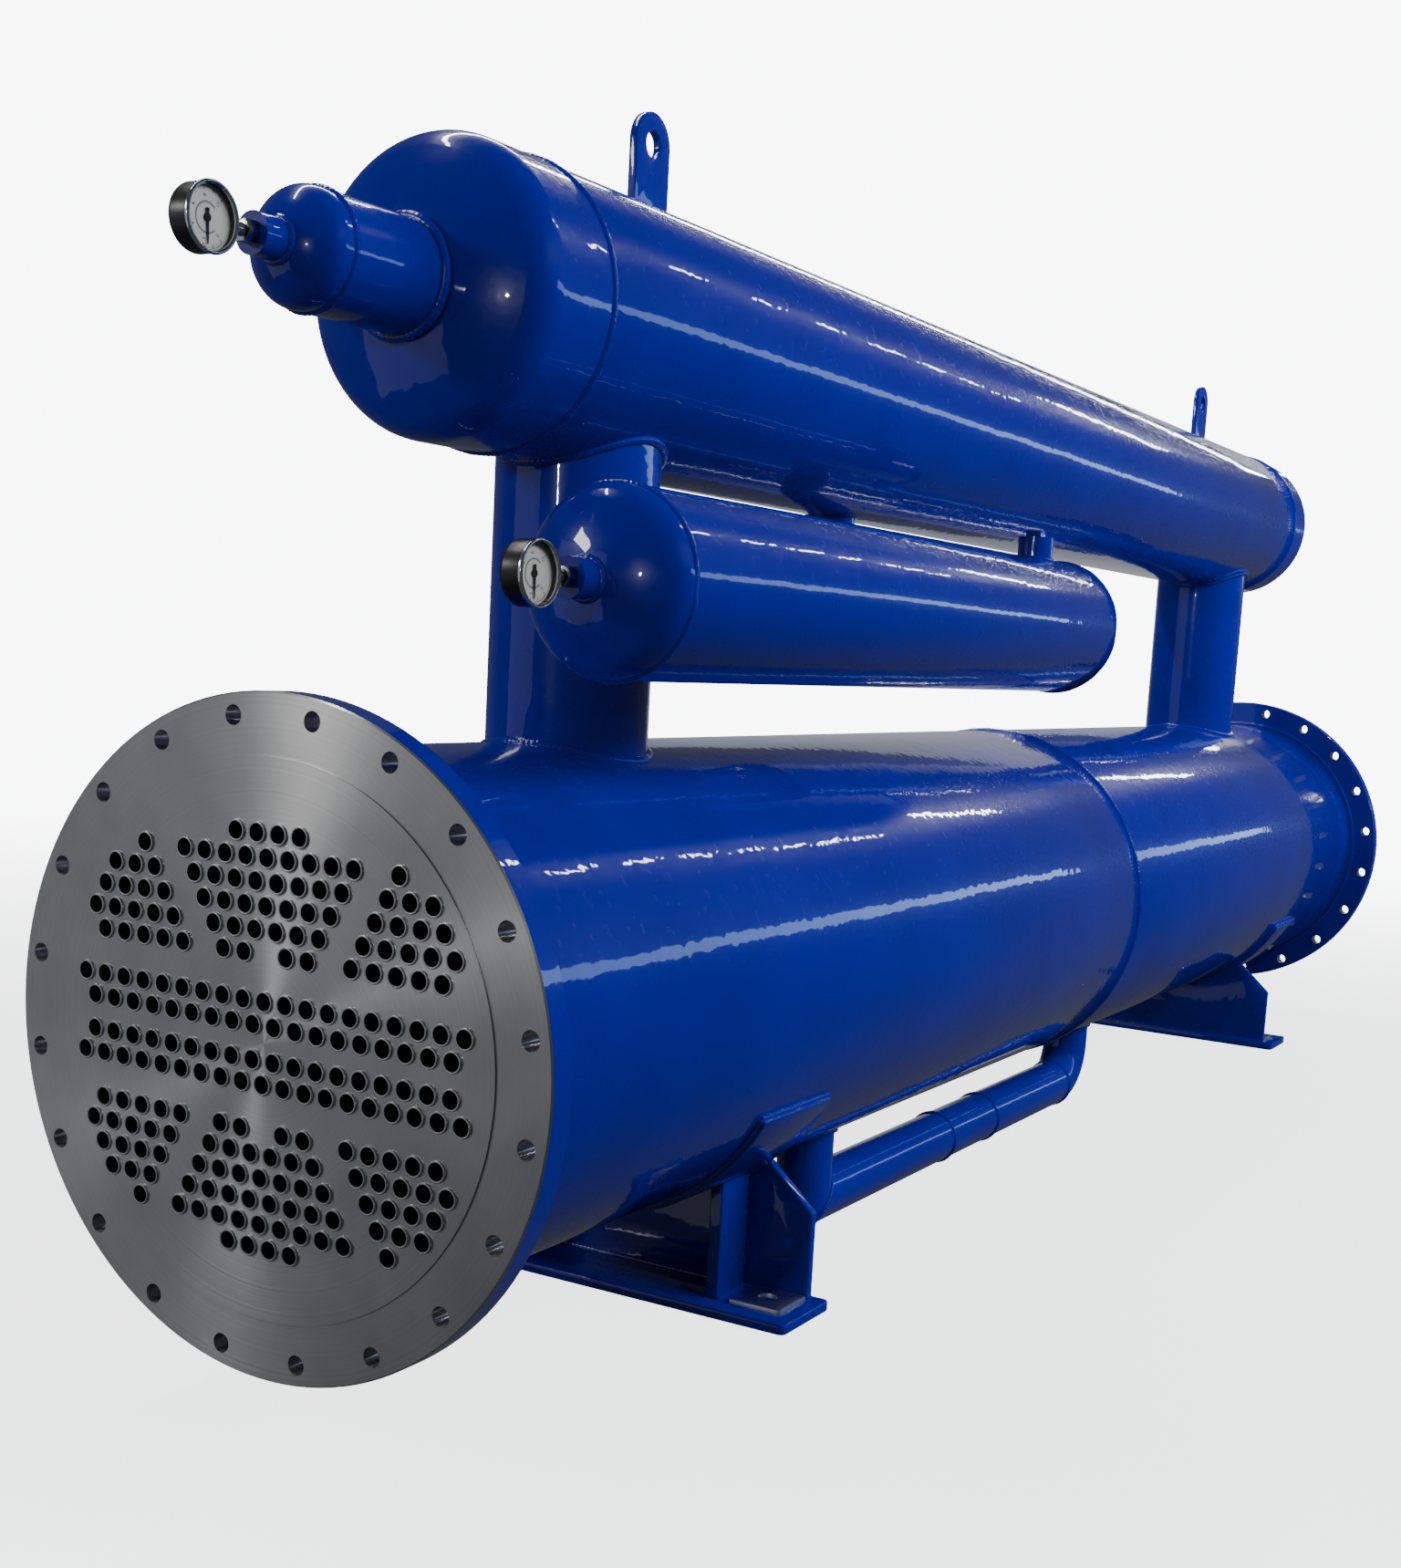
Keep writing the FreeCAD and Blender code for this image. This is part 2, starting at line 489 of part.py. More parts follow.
def saddle(side):
    """One saddle's nodes. side is -1 for the front saddle and 1 for the rear one."""
    bolt_x = side * SADDLE_SPACING / 2.0

    def span(outboard, inboard):
        """Lower X and width of a plate that reaches so far to both sides of the bolts."""
        far = bolt_x + side * outboard
        near = bolt_x - side * inboard
        return min(far, near), abs(far - near)

    base_x, base_width = span(BASE_OUTBOARD, BASE_INBOARD)
    base = Part.makeBox(base_width, BASE_LENGTH, BASE_THICKNESS, V(base_x, -BASE_LENGTH / 2.0, 0))
    uprights = [edge for edge in base.Edges
                if abs(edge.BoundBox.ZMax - edge.BoundBox.ZMin) > BASE_THICKNESS / 2.0]
    base = base.makeFillet(BASE_CORNER, uprights)
    for y in (-FOOT_BOLT_SPREAD / 2.0, FOOT_BOLT_SPREAD / 2.0):
        base = base.cut(rod(FOOT_BOLT_HOLE / 2.0, V(bolt_x, y, -OVER), AXIS_Z,
                            BASE_THICKNESS + 2.0 * OVER))

    wrap_r = SHELL_R + WRAP_THICKNESS
    wrap_x, wrap_width = span(WRAP_OUTBOARD, WRAP_INBOARD)
    wrap_start = V(wrap_x, 0, SHELL_AXIS_HEIGHT)
    wrap = pipe(wrap_r, SHELL_R, wrap_start, AXIS_X, wrap_width)
    down = math.radians(WRAP_DOWN_ANGLE)
    reach = 2.0 * wrap_r
    y = reach * math.cos(down)
    z = SHELL_AXIS_HEIGHT - reach * math.sin(down)
    fan = Part.Face(Part.makePolygon([wrap_start, V(wrap_x, y, z), V(wrap_x, y, z - reach),
                                      V(wrap_x, -y, z - reach), V(wrap_x, -y, z), wrap_start]))
    wrap = wrap.common(fan.extrude(AXIS_X * wrap_width))

    wrap_blank = rod(wrap_r, wrap_start, AXIS_X, wrap_width)
    web_x, web_width = span(-WEB_FROM_BOLTS, WEB_FROM_BOLTS + WEB_THICKNESS)
    foot = WEB_WIDTH / 2.0
    neck = WEB_NECK_WIDTH / 2.0
    neck_z = SHELL_AXIS_HEIGHT - math.sqrt(wrap_r ** 2 - neck ** 2)
    side_z = BASE_THICKNESS + WEB_SIDE_HEIGHT
    outline = [V(web_x, -foot, BASE_THICKNESS), V(web_x, foot, BASE_THICKNESS),
               V(web_x, foot, side_z), V(web_x, neck, neck_z), V(web_x, -neck, neck_z),
               V(web_x, -foot, side_z), V(web_x, -foot, BASE_THICKNESS)]
    web = Part.Face(Part.makePolygon(outline)).extrude(AXIS_X * web_width).cut(wrap_blank)

    rib_x, rib_width = span(RIB_OUTBOARD, WEB_FROM_BOLTS)
    ribs = []
    for y in (-RIB_ASIDE, RIB_ASIDE):
        rib = Part.makeBox(rib_width, RIB_THICKNESS, SHELL_AXIS_HEIGHT - BASE_THICKNESS,
                           V(rib_x, y - RIB_THICKNESS / 2.0, BASE_THICKNESS))
        ribs.append(rib.cut(wrap_blank))
    return {"base": base, "web": web, "wrapper": wrap, "ribs": Part.makeCompound(ribs)}


def build():
    front_bore = riser_bore(FRONT_RISER_X)
    rear_bore = riser_bore(REAR_RISER_X)
    front_link_bore, rear_link_bore, drop_bore = link_bores()
    course_joint_x = COURSE_JOINT
    loop_rear_x = LOOP_FRONT + LOOP_LENGTH

    save("front_tube_sheet", tube_sheet(FRONT_SHEET_X, -1))
    save("rear_tube_sheet", tube_sheet(REAR_SHEET_X, 1))
    save("tube_bundle", tube_bundle())
    save("shell_front_course", shell_course(FRONT_SHEET_X, course_joint_x,
                                            [front_bore, loop_leg_bore(LOOP_FRONT)]))
    save("shell_rear_course", shell_course(course_joint_x, REAR_SHEET_X,
                                           [rear_bore, loop_leg_bore(loop_rear_x)]))

    front_joint = V(DRUM_FRONT_X, 0, DRUM_Z)
    rear_joint = V(DRUM_REAR_X, 0, DRUM_Z)
    drum = pipe(DRUM_R, DRUM_R - DRUM_WALL, front_joint, AXIS_X, DRUM_PIPE_LENGTH)
    save("surge_drum_pipe", drum.cut(front_bore).cut(rear_bore).cut(drop_bore))
    drum_crown_x = DRUM_FRONT_X - DRUM_CAP_SKIRT - DRUM_CAP_DOME
    pot_bore = rod(POT_OD / 2.0 - POT_WALL, V(drum_crown_x - OVER, 0, DRUM_Z), AXIS_X,
                   DRUM_CAP_DOME)
    save("surge_drum_front_cap", cap(DRUM_CAP, DRUM_WALL, front_joint, -1).cut(pot_bore))
    save("surge_drum_rear_cap", cap(DRUM_CAP, DRUM_WALL, rear_joint, 1))

    pot_crown = V(drum_crown_x - POT_REACH, 0, DRUM_Z)
    pot_joint = pot_crown + AXIS_X * (POT_CAP_DOME + POT_CAP_SKIRT)
    pot = pipe(POT_OD / 2.0, POT_OD / 2.0 - POT_WALL, pot_joint, AXIS_X,
               drum_crown_x + DRUM_CAP_DOME - pot_joint.x)
    save("gauge_pot_pipe", pot.cut(cap_blank(DRUM_CAP, front_joint, -1)))
    save("gauge_pot_cap", cap(POT_CAP, POT_WALL, pot_joint, -1))

    save("front_riser", riser(FRONT_RISER_X).cut(front_link_bore))
    save("rear_riser", riser(REAR_RISER_X))

    side_front = V(SIDE_DRUM_FRONT_X, -SIDE_DRUM_ASIDE, SIDE_DRUM_Z)
    side_rear = V(SIDE_DRUM_REAR_X, -SIDE_DRUM_ASIDE, SIDE_DRUM_Z)
    side_drum = pipe(SIDE_DRUM_R, SIDE_DRUM_R - SIDE_DRUM_WALL, side_front, AXIS_X,
                     SIDE_DRUM_LENGTH)
    side_drum = side_drum.cut(front_link_bore).cut(rear_link_bore)
    boss_x = SIDE_DRUM_REAR_X - BOSS_FROM_REAR
    side_drum = side_drum.cut(rod(BOSS_BORE / 2.0, V(boss_x, -SIDE_DRUM_ASIDE, SIDE_DRUM_Z),
                                  AXIS_Z, SIDE_DRUM_OD))
    save("side_drum_pipe", side_drum)
    save("side_drum_front_cap", cap(SIDE_CAP, SIDE_DRUM_WALL, side_front, -1))
    save("side_drum_rear_cap", cap(SIDE_CAP, SIDE_DRUM_WALL, side_rear, 1))
    save("side_drum_boss", side_boss())
    save("side_drum_plug", side_plug())
    save("front_link", front_link())
    save("rear_link", rear_link())

    pot_blank = cap_blank(POT_CAP, pot_joint, -1)
    side_blank = cap_blank(SIDE_CAP, side_front, -1)
    side_crown = side_front - AXIS_X * (SIDE_DRUM_CAP_DOME + SIDE_DRUM_CAP_SKIRT)
    for name, nodes in (("upper_gauge", gauge(pot_crown, pot_blank)),
                        ("lower_gauge", gauge(side_crown, side_blank))):
        for piece, shape in nodes.items():
            save(name + "_" + piece, shape)

    lugs = [lug(RISER_MID + side * LUG_SPACING / 2.0) for side in (-1, 1)]
    save("lifting_lugs", Part.makeCompound(lugs))

    leg, run, rear_leg = bottom_loop()
    save("loop_front_leg", leg)
    save("loop_run", run)
    save("loop_rear_leg", rear_leg)

    for name, side in (("front_saddle", -1), ("rear_saddle", 1)):
        for piece, shape in saddle(side).items():
            save(name + "_" + piece, shape)


os.makedirs("parts", exist_ok=True)
build()
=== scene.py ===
"""Looks of a shell and tube heat exchanger, drawn over its solid model.

Metres throughout. +X runs from the front tube sheet to the rear one, +Z is up, and -Y is
the side that the dials and the side drum face.
"""
import json
import math
import random

import bmesh
import bpy
from mathutils import Matrix, Vector


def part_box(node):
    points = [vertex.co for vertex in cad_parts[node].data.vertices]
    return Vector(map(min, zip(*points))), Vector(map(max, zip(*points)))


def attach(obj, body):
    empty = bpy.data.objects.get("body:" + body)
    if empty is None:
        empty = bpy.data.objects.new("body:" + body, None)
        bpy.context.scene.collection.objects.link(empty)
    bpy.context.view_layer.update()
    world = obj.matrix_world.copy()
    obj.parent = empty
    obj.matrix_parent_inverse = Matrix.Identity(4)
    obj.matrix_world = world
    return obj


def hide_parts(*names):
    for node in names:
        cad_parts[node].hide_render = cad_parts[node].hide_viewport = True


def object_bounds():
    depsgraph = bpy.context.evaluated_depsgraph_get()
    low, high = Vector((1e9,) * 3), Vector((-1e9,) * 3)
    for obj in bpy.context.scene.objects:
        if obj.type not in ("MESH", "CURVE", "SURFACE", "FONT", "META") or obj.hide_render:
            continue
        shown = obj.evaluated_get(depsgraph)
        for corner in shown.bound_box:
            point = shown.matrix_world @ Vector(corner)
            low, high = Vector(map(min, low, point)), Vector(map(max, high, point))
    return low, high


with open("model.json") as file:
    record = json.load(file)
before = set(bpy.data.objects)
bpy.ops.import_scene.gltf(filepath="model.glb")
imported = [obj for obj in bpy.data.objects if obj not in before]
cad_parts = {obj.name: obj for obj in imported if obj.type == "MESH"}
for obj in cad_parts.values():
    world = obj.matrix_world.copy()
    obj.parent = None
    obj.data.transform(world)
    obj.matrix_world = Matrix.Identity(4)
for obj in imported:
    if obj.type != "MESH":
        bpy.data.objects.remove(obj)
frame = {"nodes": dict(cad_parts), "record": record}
frame_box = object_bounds()

# Camera: stands ahead of the front tube sheet and to the -Y side, a little above the
# shell's axis, and looks along the shell with a slight tilt of the frame.
CAMERA_PLACE = Vector((-2.811, -1.146, 0.724))
CAMERA_HEADING = 29.5
CAMERA_PITCH = -7.98
CAMERA_ROLL = 3.22
camera_data = bpy.data.cameras.new("camera")
camera_data.lens = 44.28
camera_data.sensor_width = 36.0
camera_data.shift_x = -0.0215
camera_data.shift_y = 0.0852
camera_data.clip_start = 0.05
camera_data.clip_end = 60.0
camera = bpy.data.objects.new("camera", camera_data)
camera.matrix_world = (Matrix.Translation(CAMERA_PLACE)
                       @ Matrix.Rotation(math.radians(CAMERA_HEADING - 90.0), 4, "Z")
                       @ Matrix.Rotation(math.radians(CAMERA_PITCH + 90.0), 4, "X")
                       @ Matrix.Rotation(math.radians(CAMERA_ROLL), 4, "Z"))
bpy.context.scene.collection.objects.link(camera)
bpy.context.scene.camera = camera


# Floor and lights: a pale painted floor that fades into a pale wall with distance, and
# soft boxes round the machine. Only the camera sees the wall's glow. The machine is lit
# and mirrored by a dim room, so that its paint stays deep.
def linear(hex_text):
    """An sRGB hex value as linear RGBA."""
    parts = [int(hex_text[i:i + 2], 16) / 255.0 for i in (0, 2, 4)]
    return tuple(p / 12.92 if p <= 0.04045 else ((p + 0.055) / 1.055) ** 2.4
                 for p in parts) + (1.0,)


def add(tree, kind, fields=None, values=None, links=None):
    """Add a node to tree, set its fields and inputs, and link other nodes' outputs to it."""
    made = tree.nodes.new(kind)
    for name, value in (fields or {}).items():
        setattr(made, name, value)
    for name, value in (values or {}).items():
        made.inputs[name].default_value = value
    for name, source in (links or {}).items():
        tree.links.new(source, made.inputs[name])
    return made


def start_material(name):
    """A new material with only its output, and the output itself."""
    material = bpy.data.materials.new(name)
    material.use_nodes = True
    material.node_tree.nodes.clear()
    return material, add(material.node_tree, "ShaderNodeOutputMaterial")


FLOOR_REACH = 40.0
HAZE_FROM = 1.2
HAZE_FULL = 5.5
LEAST_HAZE = 0.32
WALL_TONE = "f6f8fa"
WALL_GLOW = 9.0
floor_paint, floor_out = start_material("floor_paint")
tree = floor_paint.node_tree
place = add(tree, "ShaderNodeTexCoord")
cloud = add(tree, "ShaderNodeTexNoise", values={"Scale": 1.7, "Detail": 3.0},
            links={"Vector": place.outputs["Object"]})
tone = add(tree, "ShaderNodeMapRange", values={"To Min": 0.30, "To Max": 0.42},
           links={"Value": cloud.outputs["Fac"]})
floor_shader = add(tree, "ShaderNodeBsdfPrincipled",
                   values={"Base Color": linear("e9ebee"), "Specular IOR Level": 0.15},
                   links={"Roughness": tone.outputs["Result"]})
from_part = add(tree, "ShaderNodeVectorMath", fields={"operation": "LENGTH"},
                links={0: place.outputs["Object"]})
reach = add(tree, "ShaderNodeMapRange", fields={"interpolation_type": "SMOOTHSTEP"},
            values={"From Min": HAZE_FROM, "From Max": HAZE_FULL, "To Min": LEAST_HAZE},
            links={"Value": from_part.outputs["Value"]})
haze = add(tree, "ShaderNodeEmission",
           values={"Color": linear(WALL_TONE), "Strength": WALL_GLOW})
blended = add(tree, "ShaderNodeMixShader", links={"Fac": reach.outputs["Result"]})
tree.links.new(floor_shader.outputs["BSDF"], blended.inputs[1])
tree.links.new(haze.outputs["Emission"], blended.inputs[2])
tree.links.new(blended.outputs["Shader"], floor_out.inputs["Surface"])
floor_mesh = bpy.data.meshes.new("floor")
floor_mesh.from_pydata([(-FLOOR_REACH, -FLOOR_REACH, 0.0), (FLOOR_REACH, -FLOOR_REACH, 0.0),
                        (FLOOR_REACH, FLOOR_REACH, 0.0), (-FLOOR_REACH, FLOOR_REACH, 0.0)],
                       [], [(0, 1, 2, 3)])
floor_mesh.materials.append(floor_paint)
floor = bpy.data.objects.new("floor", floor_mesh)
bpy.context.scene.collection.objects.link(floor)
floor.visible_diffuse = False
floor.visible_glossy = False

world = bpy.data.worlds.new("room")
world.use_nodes = True
world.node_tree.nodes.clear()
tree = world.node_tree
path = add(tree, "ShaderNodeLightPath")
dim_room = add(tree, "ShaderNodeBackground",
               values={"Color": linear("c4d0e4"), "Strength": 0.04})
pale_wall = add(tree, "ShaderNodeBackground",
                values={"Color": linear(WALL_TONE), "Strength": WALL_GLOW})
mirrored_room = add(tree, "ShaderNodeBackground",
                    values={"Color": linear("dfe6f0"), "Strength": 0.10})
lit_mix = add(tree, "ShaderNodeMixShader", links={"Fac": path.outputs["Is Glossy Ray"]})
tree.links.new(dim_room.outputs["Background"], lit_mix.inputs[1])
tree.links.new(mirrored_room.outputs["Background"], lit_mix.inputs[2])
room_mix = add(tree, "ShaderNodeMixShader", links={"Fac": path.outputs["Is Camera Ray"]})
tree.links.new(lit_mix.outputs["Shader"], room_mix.inputs[1])
tree.links.new(pale_wall.outputs["Background"], room_mix.inputs[2])
add(tree, "ShaderNodeOutputWorld", links={"Surface": room_mix.outputs["Shader"]})
bpy.context.scene.world = world


def soft_box(name, place, aim, width, length, power, hex_colour, mirrored=True):
    """A rectangular lamp, long along X as nearly as its aim allows. Gloss may mirror it."""
    lamp = bpy.data.lights.new(name, "AREA")
    lamp.shape = "RECTANGLE"
    lamp.size = length
    lamp.size_y = width
    lamp.energy = power
    lamp.color = linear(hex_colour)[:3]
    holder = bpy.data.objects.new(name, lamp)
    back = (Vector(place) - Vector(aim)).normalized()
    side = (Vector((1.0, 0.0, 0.0)) - back * back.x).normalized()
    up = back.cross(side)
    turn = Matrix((side, up, back)).transposed().to_4x4()
    holder.matrix_world = Matrix.Translation(Vector(place)) @ turn
    holder.visible_glossy = mirrored
    bpy.context.scene.collection.objects.link(holder)


# Strips hung along the shell draw the long streaks on its gloss paint.
soft_box("overhead_strip", (5.0, 1.3, 3.4), (5.0, 0.0, 0.6), 0.10, 15.0, 210.0, "ffffff")
soft_box("short_strip", (7.0, -0.9, 3.4), (7.0, 0.0, 0.6), 0.10, 3.0, 34.0, "ffffff")
soft_box("near_strip", (6.5, -3.2, 1.5), (6.5, 0.0, 0.9), 0.30, 13.0, 46.0, "a6c8ff")
# A row of small lamps draws a broken line above the near streak.
ROW_START = 0.4
ROW_STEP = 0.5
for i in range(9):
    x = ROW_START + ROW_STEP * i
    soft_box("row_lamp_%d" % (i + 1), (x, -1.5, 2.9), (x, 0.0, 0.8), 0.07, 0.22, 1.5, "ffffff")
# A fill, a spot and two cards for the tube sheet and the ends of the drums.
soft_box("front_fill", (-3.6, 1.7, 1.9), (-1.6, 0.0, 0.4), 0.4, 0.8, 20.0, "ffffff")
soft_box("front_spot", (-5.2, -0.6, 1.2), (-1.6, 0.0, 0.4), 0.07, 0.07, 17.0, "ffffff")
soft_box("front_card", (-4.6, 2.6, 0.6), (-1.6, 0.0, 0.4), 3.2, 3.2, 12.0, "f2f6ff")
soft_box("rear_card", (4.8, 2.0, 0.8), (1.4, 0.0, 0.4), 3.0, 3.0, 10.0, "f2f6ff")
# Two fills that light the paint and leave no mark in its gloss.
soft_box("near_fill", (1.2, -3.8, 2.8), (1.0, 0.0, 0.6), 1.4, 7.0, 270.0, "ffffff", False)
soft_box("far_fill", (0.5, 4.0, 2.0), (0.0, 0.0, 0.5), 1.6, 5.0, 60.0, "fff8ee", False)


# Paint: two-pack gloss enamel sprayed on shot-blasted steel. It gives a wet, mirror-like
# gloss over a saturated blue, with orange peel and a slow wave from the plate below.
MM = 0.001
# Real orange peel is 1 to 3 mm across. It is drawn coarser, so that it shows.
PEEL_SIZE = 13.0 * MM
PEEL_RELIEF = 0.18 * MM
WAVE_SIZE = 150.0 * MM
WAVE_RELIEF = 1.3 * MM
enamel, enamel_out = start_material("gloss_enamel")
tree = enamel.node_tree
place = add(tree, "ShaderNodeTexCoord")
peel = add(tree, "ShaderNodeTexNoise", values={"Scale": 1.0 / PEEL_SIZE, "Detail": 0.8},
           links={"Vector": place.outputs["Object"]})
wave = add(tree, "ShaderNodeTexNoise", values={"Scale": 1.0 / WAVE_SIZE, "Detail": 1.5},
           links={"Vector": place.outputs["Object"]})
wave_relief = add(tree, "ShaderNodeBump", values={"Strength": 1.0, "Distance": WAVE_RELIEF},
                  links={"Height": wave.outputs["Fac"]})
relief = add(tree, "ShaderNodeBump", values={"Strength": 1.0, "Distance": PEEL_RELIEF},
             links={"Height": peel.outputs["Fac"], "Normal": wave_relief.outputs["Normal"]})
shade = add(tree, "ShaderNodeMapRange", values={"From Min": 0.3, "From Max": 0.7},
            links={"Value": wave.outputs["Fac"]})
colour = add(tree, "ShaderNodeMix", fields={"data_type": "RGBA"},
             values={"A": linear("000a96"), "B": linear("000da2")},
             links={"Factor": shade.outputs["Result"]})
flow = add(tree, "ShaderNodeMapRange", values={"To Min": 0.22, "To Max": 0.30},
           links={"Value": peel.outputs["Fac"]})
enamel_shader = add(tree, "ShaderNodeBsdfPrincipled",
                    values={"IOR": 1.5, "Specular IOR Level": 0.12,
                            "Coat Weight": 1.0, "Coat Roughness": 0.025},
                    links={"Base Color": colour.outputs["Result"],
                           "Roughness": flow.outputs["Result"],
                           "Normal": relief.outputs["Normal"],
                           "Coat Normal": relief.outputs["Normal"]})
tree.links.new(enamel_shader.outputs["BSDF"], enamel_out.inputs["Surface"])


# Shell: a 508 mm rolled pipe in two courses, butted and welded near the middle. Each
# course is turned as one skin with a small weld bevel at its ends.
TURN_STEPS = 192
END_EASE = 1.5 * MM
LEAST_RING = 0.1 * MM
SMOOTH_UNDER = 32.0
CORNER_SHARE = 0.45
ALONG = (1, 0, 0)


def eased(points, ease, steps=3):
    """An open outline with each inner corner rounded over ease, or less on a short side."""
    out = [Vector(points[0])]
    for before, corner, after in zip(points, points[1:], points[2:]):
        corner = Vector(corner)
        back = Vector(before) - corner
        ahead = Vector(after) - corner
        reach = min(ease, back.length * CORNER_SHARE, ahead.length * CORNER_SHARE)
        first = corner + back.normalized() * reach
        last = corner + ahead.normalized() * reach
        for i in range(steps + 1):
            t = i / steps
            out.append(first * (1 - t) ** 2 + corner * 2 * t * (1 - t) + last * t ** 2)
    out.append(Vector(points[-1]))
    return out


def skin(name, rings, material, slot, around=False, smooth_under=SMOOTH_UNDER):
    """A closed mesh through rings of equally many points: capped, or joined end to end."""
    count = len(rings[0])
    points = [p for ring in rings for p in ring]
    faces = []
    for r in range(len(rings) if around else len(rings) - 1):
        low = r * count
        high = ((r + 1) % len(rings)) * count
        for i in range(count):
            j = (i + 1) % count
            faces.append((low + i, low + j, high + j, high + i))
    if not around:
        faces.append(tuple(range(count - 1, -1, -1)))
        faces.append(tuple((len(rings) - 1) * count + i for i in range(count)))
    mesh = bpy.data.meshes.new(name)
    mesh.from_pydata([tuple(p) for p in points], [], faces)
    mesh.validate()
    mesh.shade_smooth()
    mesh.set_sharp_from_angle(angle=math.radians(smooth_under))
    return show(name, mesh, material, slot)


def show(name, mesh, material, slot, *more):
    """Link a finished mesh as a piece of the machine, with more materials if it has them."""
    mesh.materials.clear()
    for finish in (material, *more):
        mesh.materials.append(finish)
    made = bpy.data.objects.new(name, mesh)
    bpy.context.scene.collection.objects.link(made)
    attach(made, "root")
    return made


def sides_of(direction):
    """Two unit vectors square to direction, so that the three turn right-handed."""
    direction = Vector(direction).normalized()
    spare = Vector((0, 0, 1)) if abs(direction.z) < 0.9 else Vector((1, 0, 0))
    first = spare.cross(direction).normalized()
    return first, direction.cross(first)


def circle(centre, direction, radius, steps):
    """Points evenly round a circle whose axis is direction."""
    first, second = sides_of(direction)
    return [centre + (first * math.cos(a) + second * math.sin(a)) * radius
            for a in (2.0 * math.pi * i / steps for i in range(steps))]


def turned(name, start, direction, outline, material, slot, ease=END_EASE, steps=TURN_STEPS,
           around=False):
    """A lathe form: outline is (way along direction, radius), from one end to the other."""
    start = Vector(start)
    direction = Vector(direction).normalized()
    soft = outline if ease == 0 else eased([Vector((a, b)) for a, b in outline], ease)
    rings = [circle(start + direction * p[0], direction, max(p[1], LEAST_RING), steps)
             for p in soft]
    return skin(name, rings, material, slot, around)


shell_low, shell_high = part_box("shell_front_course")
shell_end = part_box("shell_rear_course")[1].x
shell_r = (shell_high.z - shell_low.z) / 2.0
shell_axis = (shell_high.z + shell_low.z) / 2.0
course_joint = shell_high.x
for name, first, last in (("shell_front_course", shell_low.x, course_joint),
                          ("shell_rear_course", course_joint, shell_end)):
    outline = [(0, 0), (0, shell_r), (last - first, shell_r), (last - first, 0)]
    course = turned(name + "_skin", (first, 0, shell_axis), ALONG, outline,
                    enamel, "blue_paint")
    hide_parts(name)


# Weld beads: stick and wire welds under the paint. Each is a rounded rope half sunk into
# its joint, with a ripple where each drop of metal froze.
BEAD_STEP = 1.3 * MM
RIPPLE = 5.5 * MM
BEAD_SIDES = 8
BEAD_WAIST = 0.9
RIPPLE_RISE = 0.12
RIPPLE_SHAPE = 0.6
# The welder's hand: how far the bead swells or thins, and over how many steps.
HAND_SWING = 0.07
HAND_STEPS = 9
SHELL_BEAD = 5.0 * MM
SHELL_BEAD_SHIFT = 1.5 * MM
random.seed(41)


def bead(name, points, radius, reference, closed=True):
    """A weld along a line of points, even where it joins itself. reference crosses the line."""
    count = len(points)
    swing = [random.uniform(-HAND_SWING, HAND_SWING) for _ in range(count // HAND_STEPS + 3)]
    join = HAND_STEPS + 1
    rings = []
    travel = 0.0
    length = sum((points[i] - points[i - 1]).length for i in range(1, count))
    length += (points[0] - points[-1]).length if closed else 0.0
    ripples = max(1, round(length / RIPPLE))
    for i, point in enumerate(points):
        before = points[i - 1] if closed or i else point
        after = points[(i + 1) % count] if closed or i < count - 1 else point
        along = (after - before).normalized()
        first = along.cross(Vector(reference)).normalized()
        second = along.cross(first)
        if i:
            travel += (point - points[i - 1]).length
        crest = abs(math.sin(math.pi * travel / length * ripples))
        turn, step = divmod(i, HAND_STEPS)
        share = step / HAND_STEPS
        wander = swing[turn] * (1 - share) + swing[turn + 1] * share
        if closed and i > count - join:
            wander *= (count - i) / join
        if closed and i < join:
            wander *= i / join
        reach = radius * (BEAD_WAIST + RIPPLE_RISE * crest ** RIPPLE_SHAPE + wander)
        rings.append([point + (first * math.cos(a) + second * math.sin(a)) * reach
                      for a in (2.0 * math.pi * k / BEAD_SIDES for k in range(BEAD_SIDES))])
    return skin(name, rings, enamel, "blue_paint", around=closed, smooth_under=180.0)


def ring_bead(name, centre, direction, radius, bead_r):
    """A weld round a pipe, its middle at radius."""
    steps = max(24, int(2.0 * math.pi * radius / BEAD_STEP))
    return bead(name, circle(Vector(centre), direction, radius, steps), bead_r, direction)


def line_bead(name, first, last, bead_r):
    first = Vector(first)
    last = Vector(last)
    steps = max(4, int((last - first).length / BEAD_STEP))
    points = [first.lerp(last, i / steps) for i in range(steps + 1)]
    reference = sides_of(last - first)[0]
    return bead(name, points, bead_r, reference, closed=False)


def branch_bead(name, x, y, radius, main_y, main_z, main_r, side, bead_r):
    """A weld where an upright pipe stands on (side 1) or hangs under (-1) a level one."""
    steps = int(2.0 * math.pi * radius / BEAD_STEP)
    points = []
    for i in range(steps):
        a = 2.0 * math.pi * i / steps
        across = y + radius * math.sin(a)
        rise = math.sqrt(main_r ** 2 - (across - main_y) ** 2)
        points.append(Vector((x + radius * math.cos(a), across, main_z + side * rise)))
    return bead(name, points, bead_r, (0, 0, 1))


for name, x, shift in (("course_weld", course_joint, -SHELL_BEAD_SHIFT),
                       ("front_sheet_weld", shell_low.x, SHELL_BEAD_SHIFT),
                       ("rear_sheet_weld", shell_end, SHELL_BEAD_SHIFT)):
    ring_bead(name, (x, 0, shell_axis), ALONG, shell_r + shift, SHELL_BEAD)


# Tube sheets: 30 mm forged discs, faced in a lathe. The bare face has fine rings that draw
# a bright fan across it, the joint face stands 1.5 mm proud, and the rim is painted.
SCUFF_SIZE = 60.0 * MM
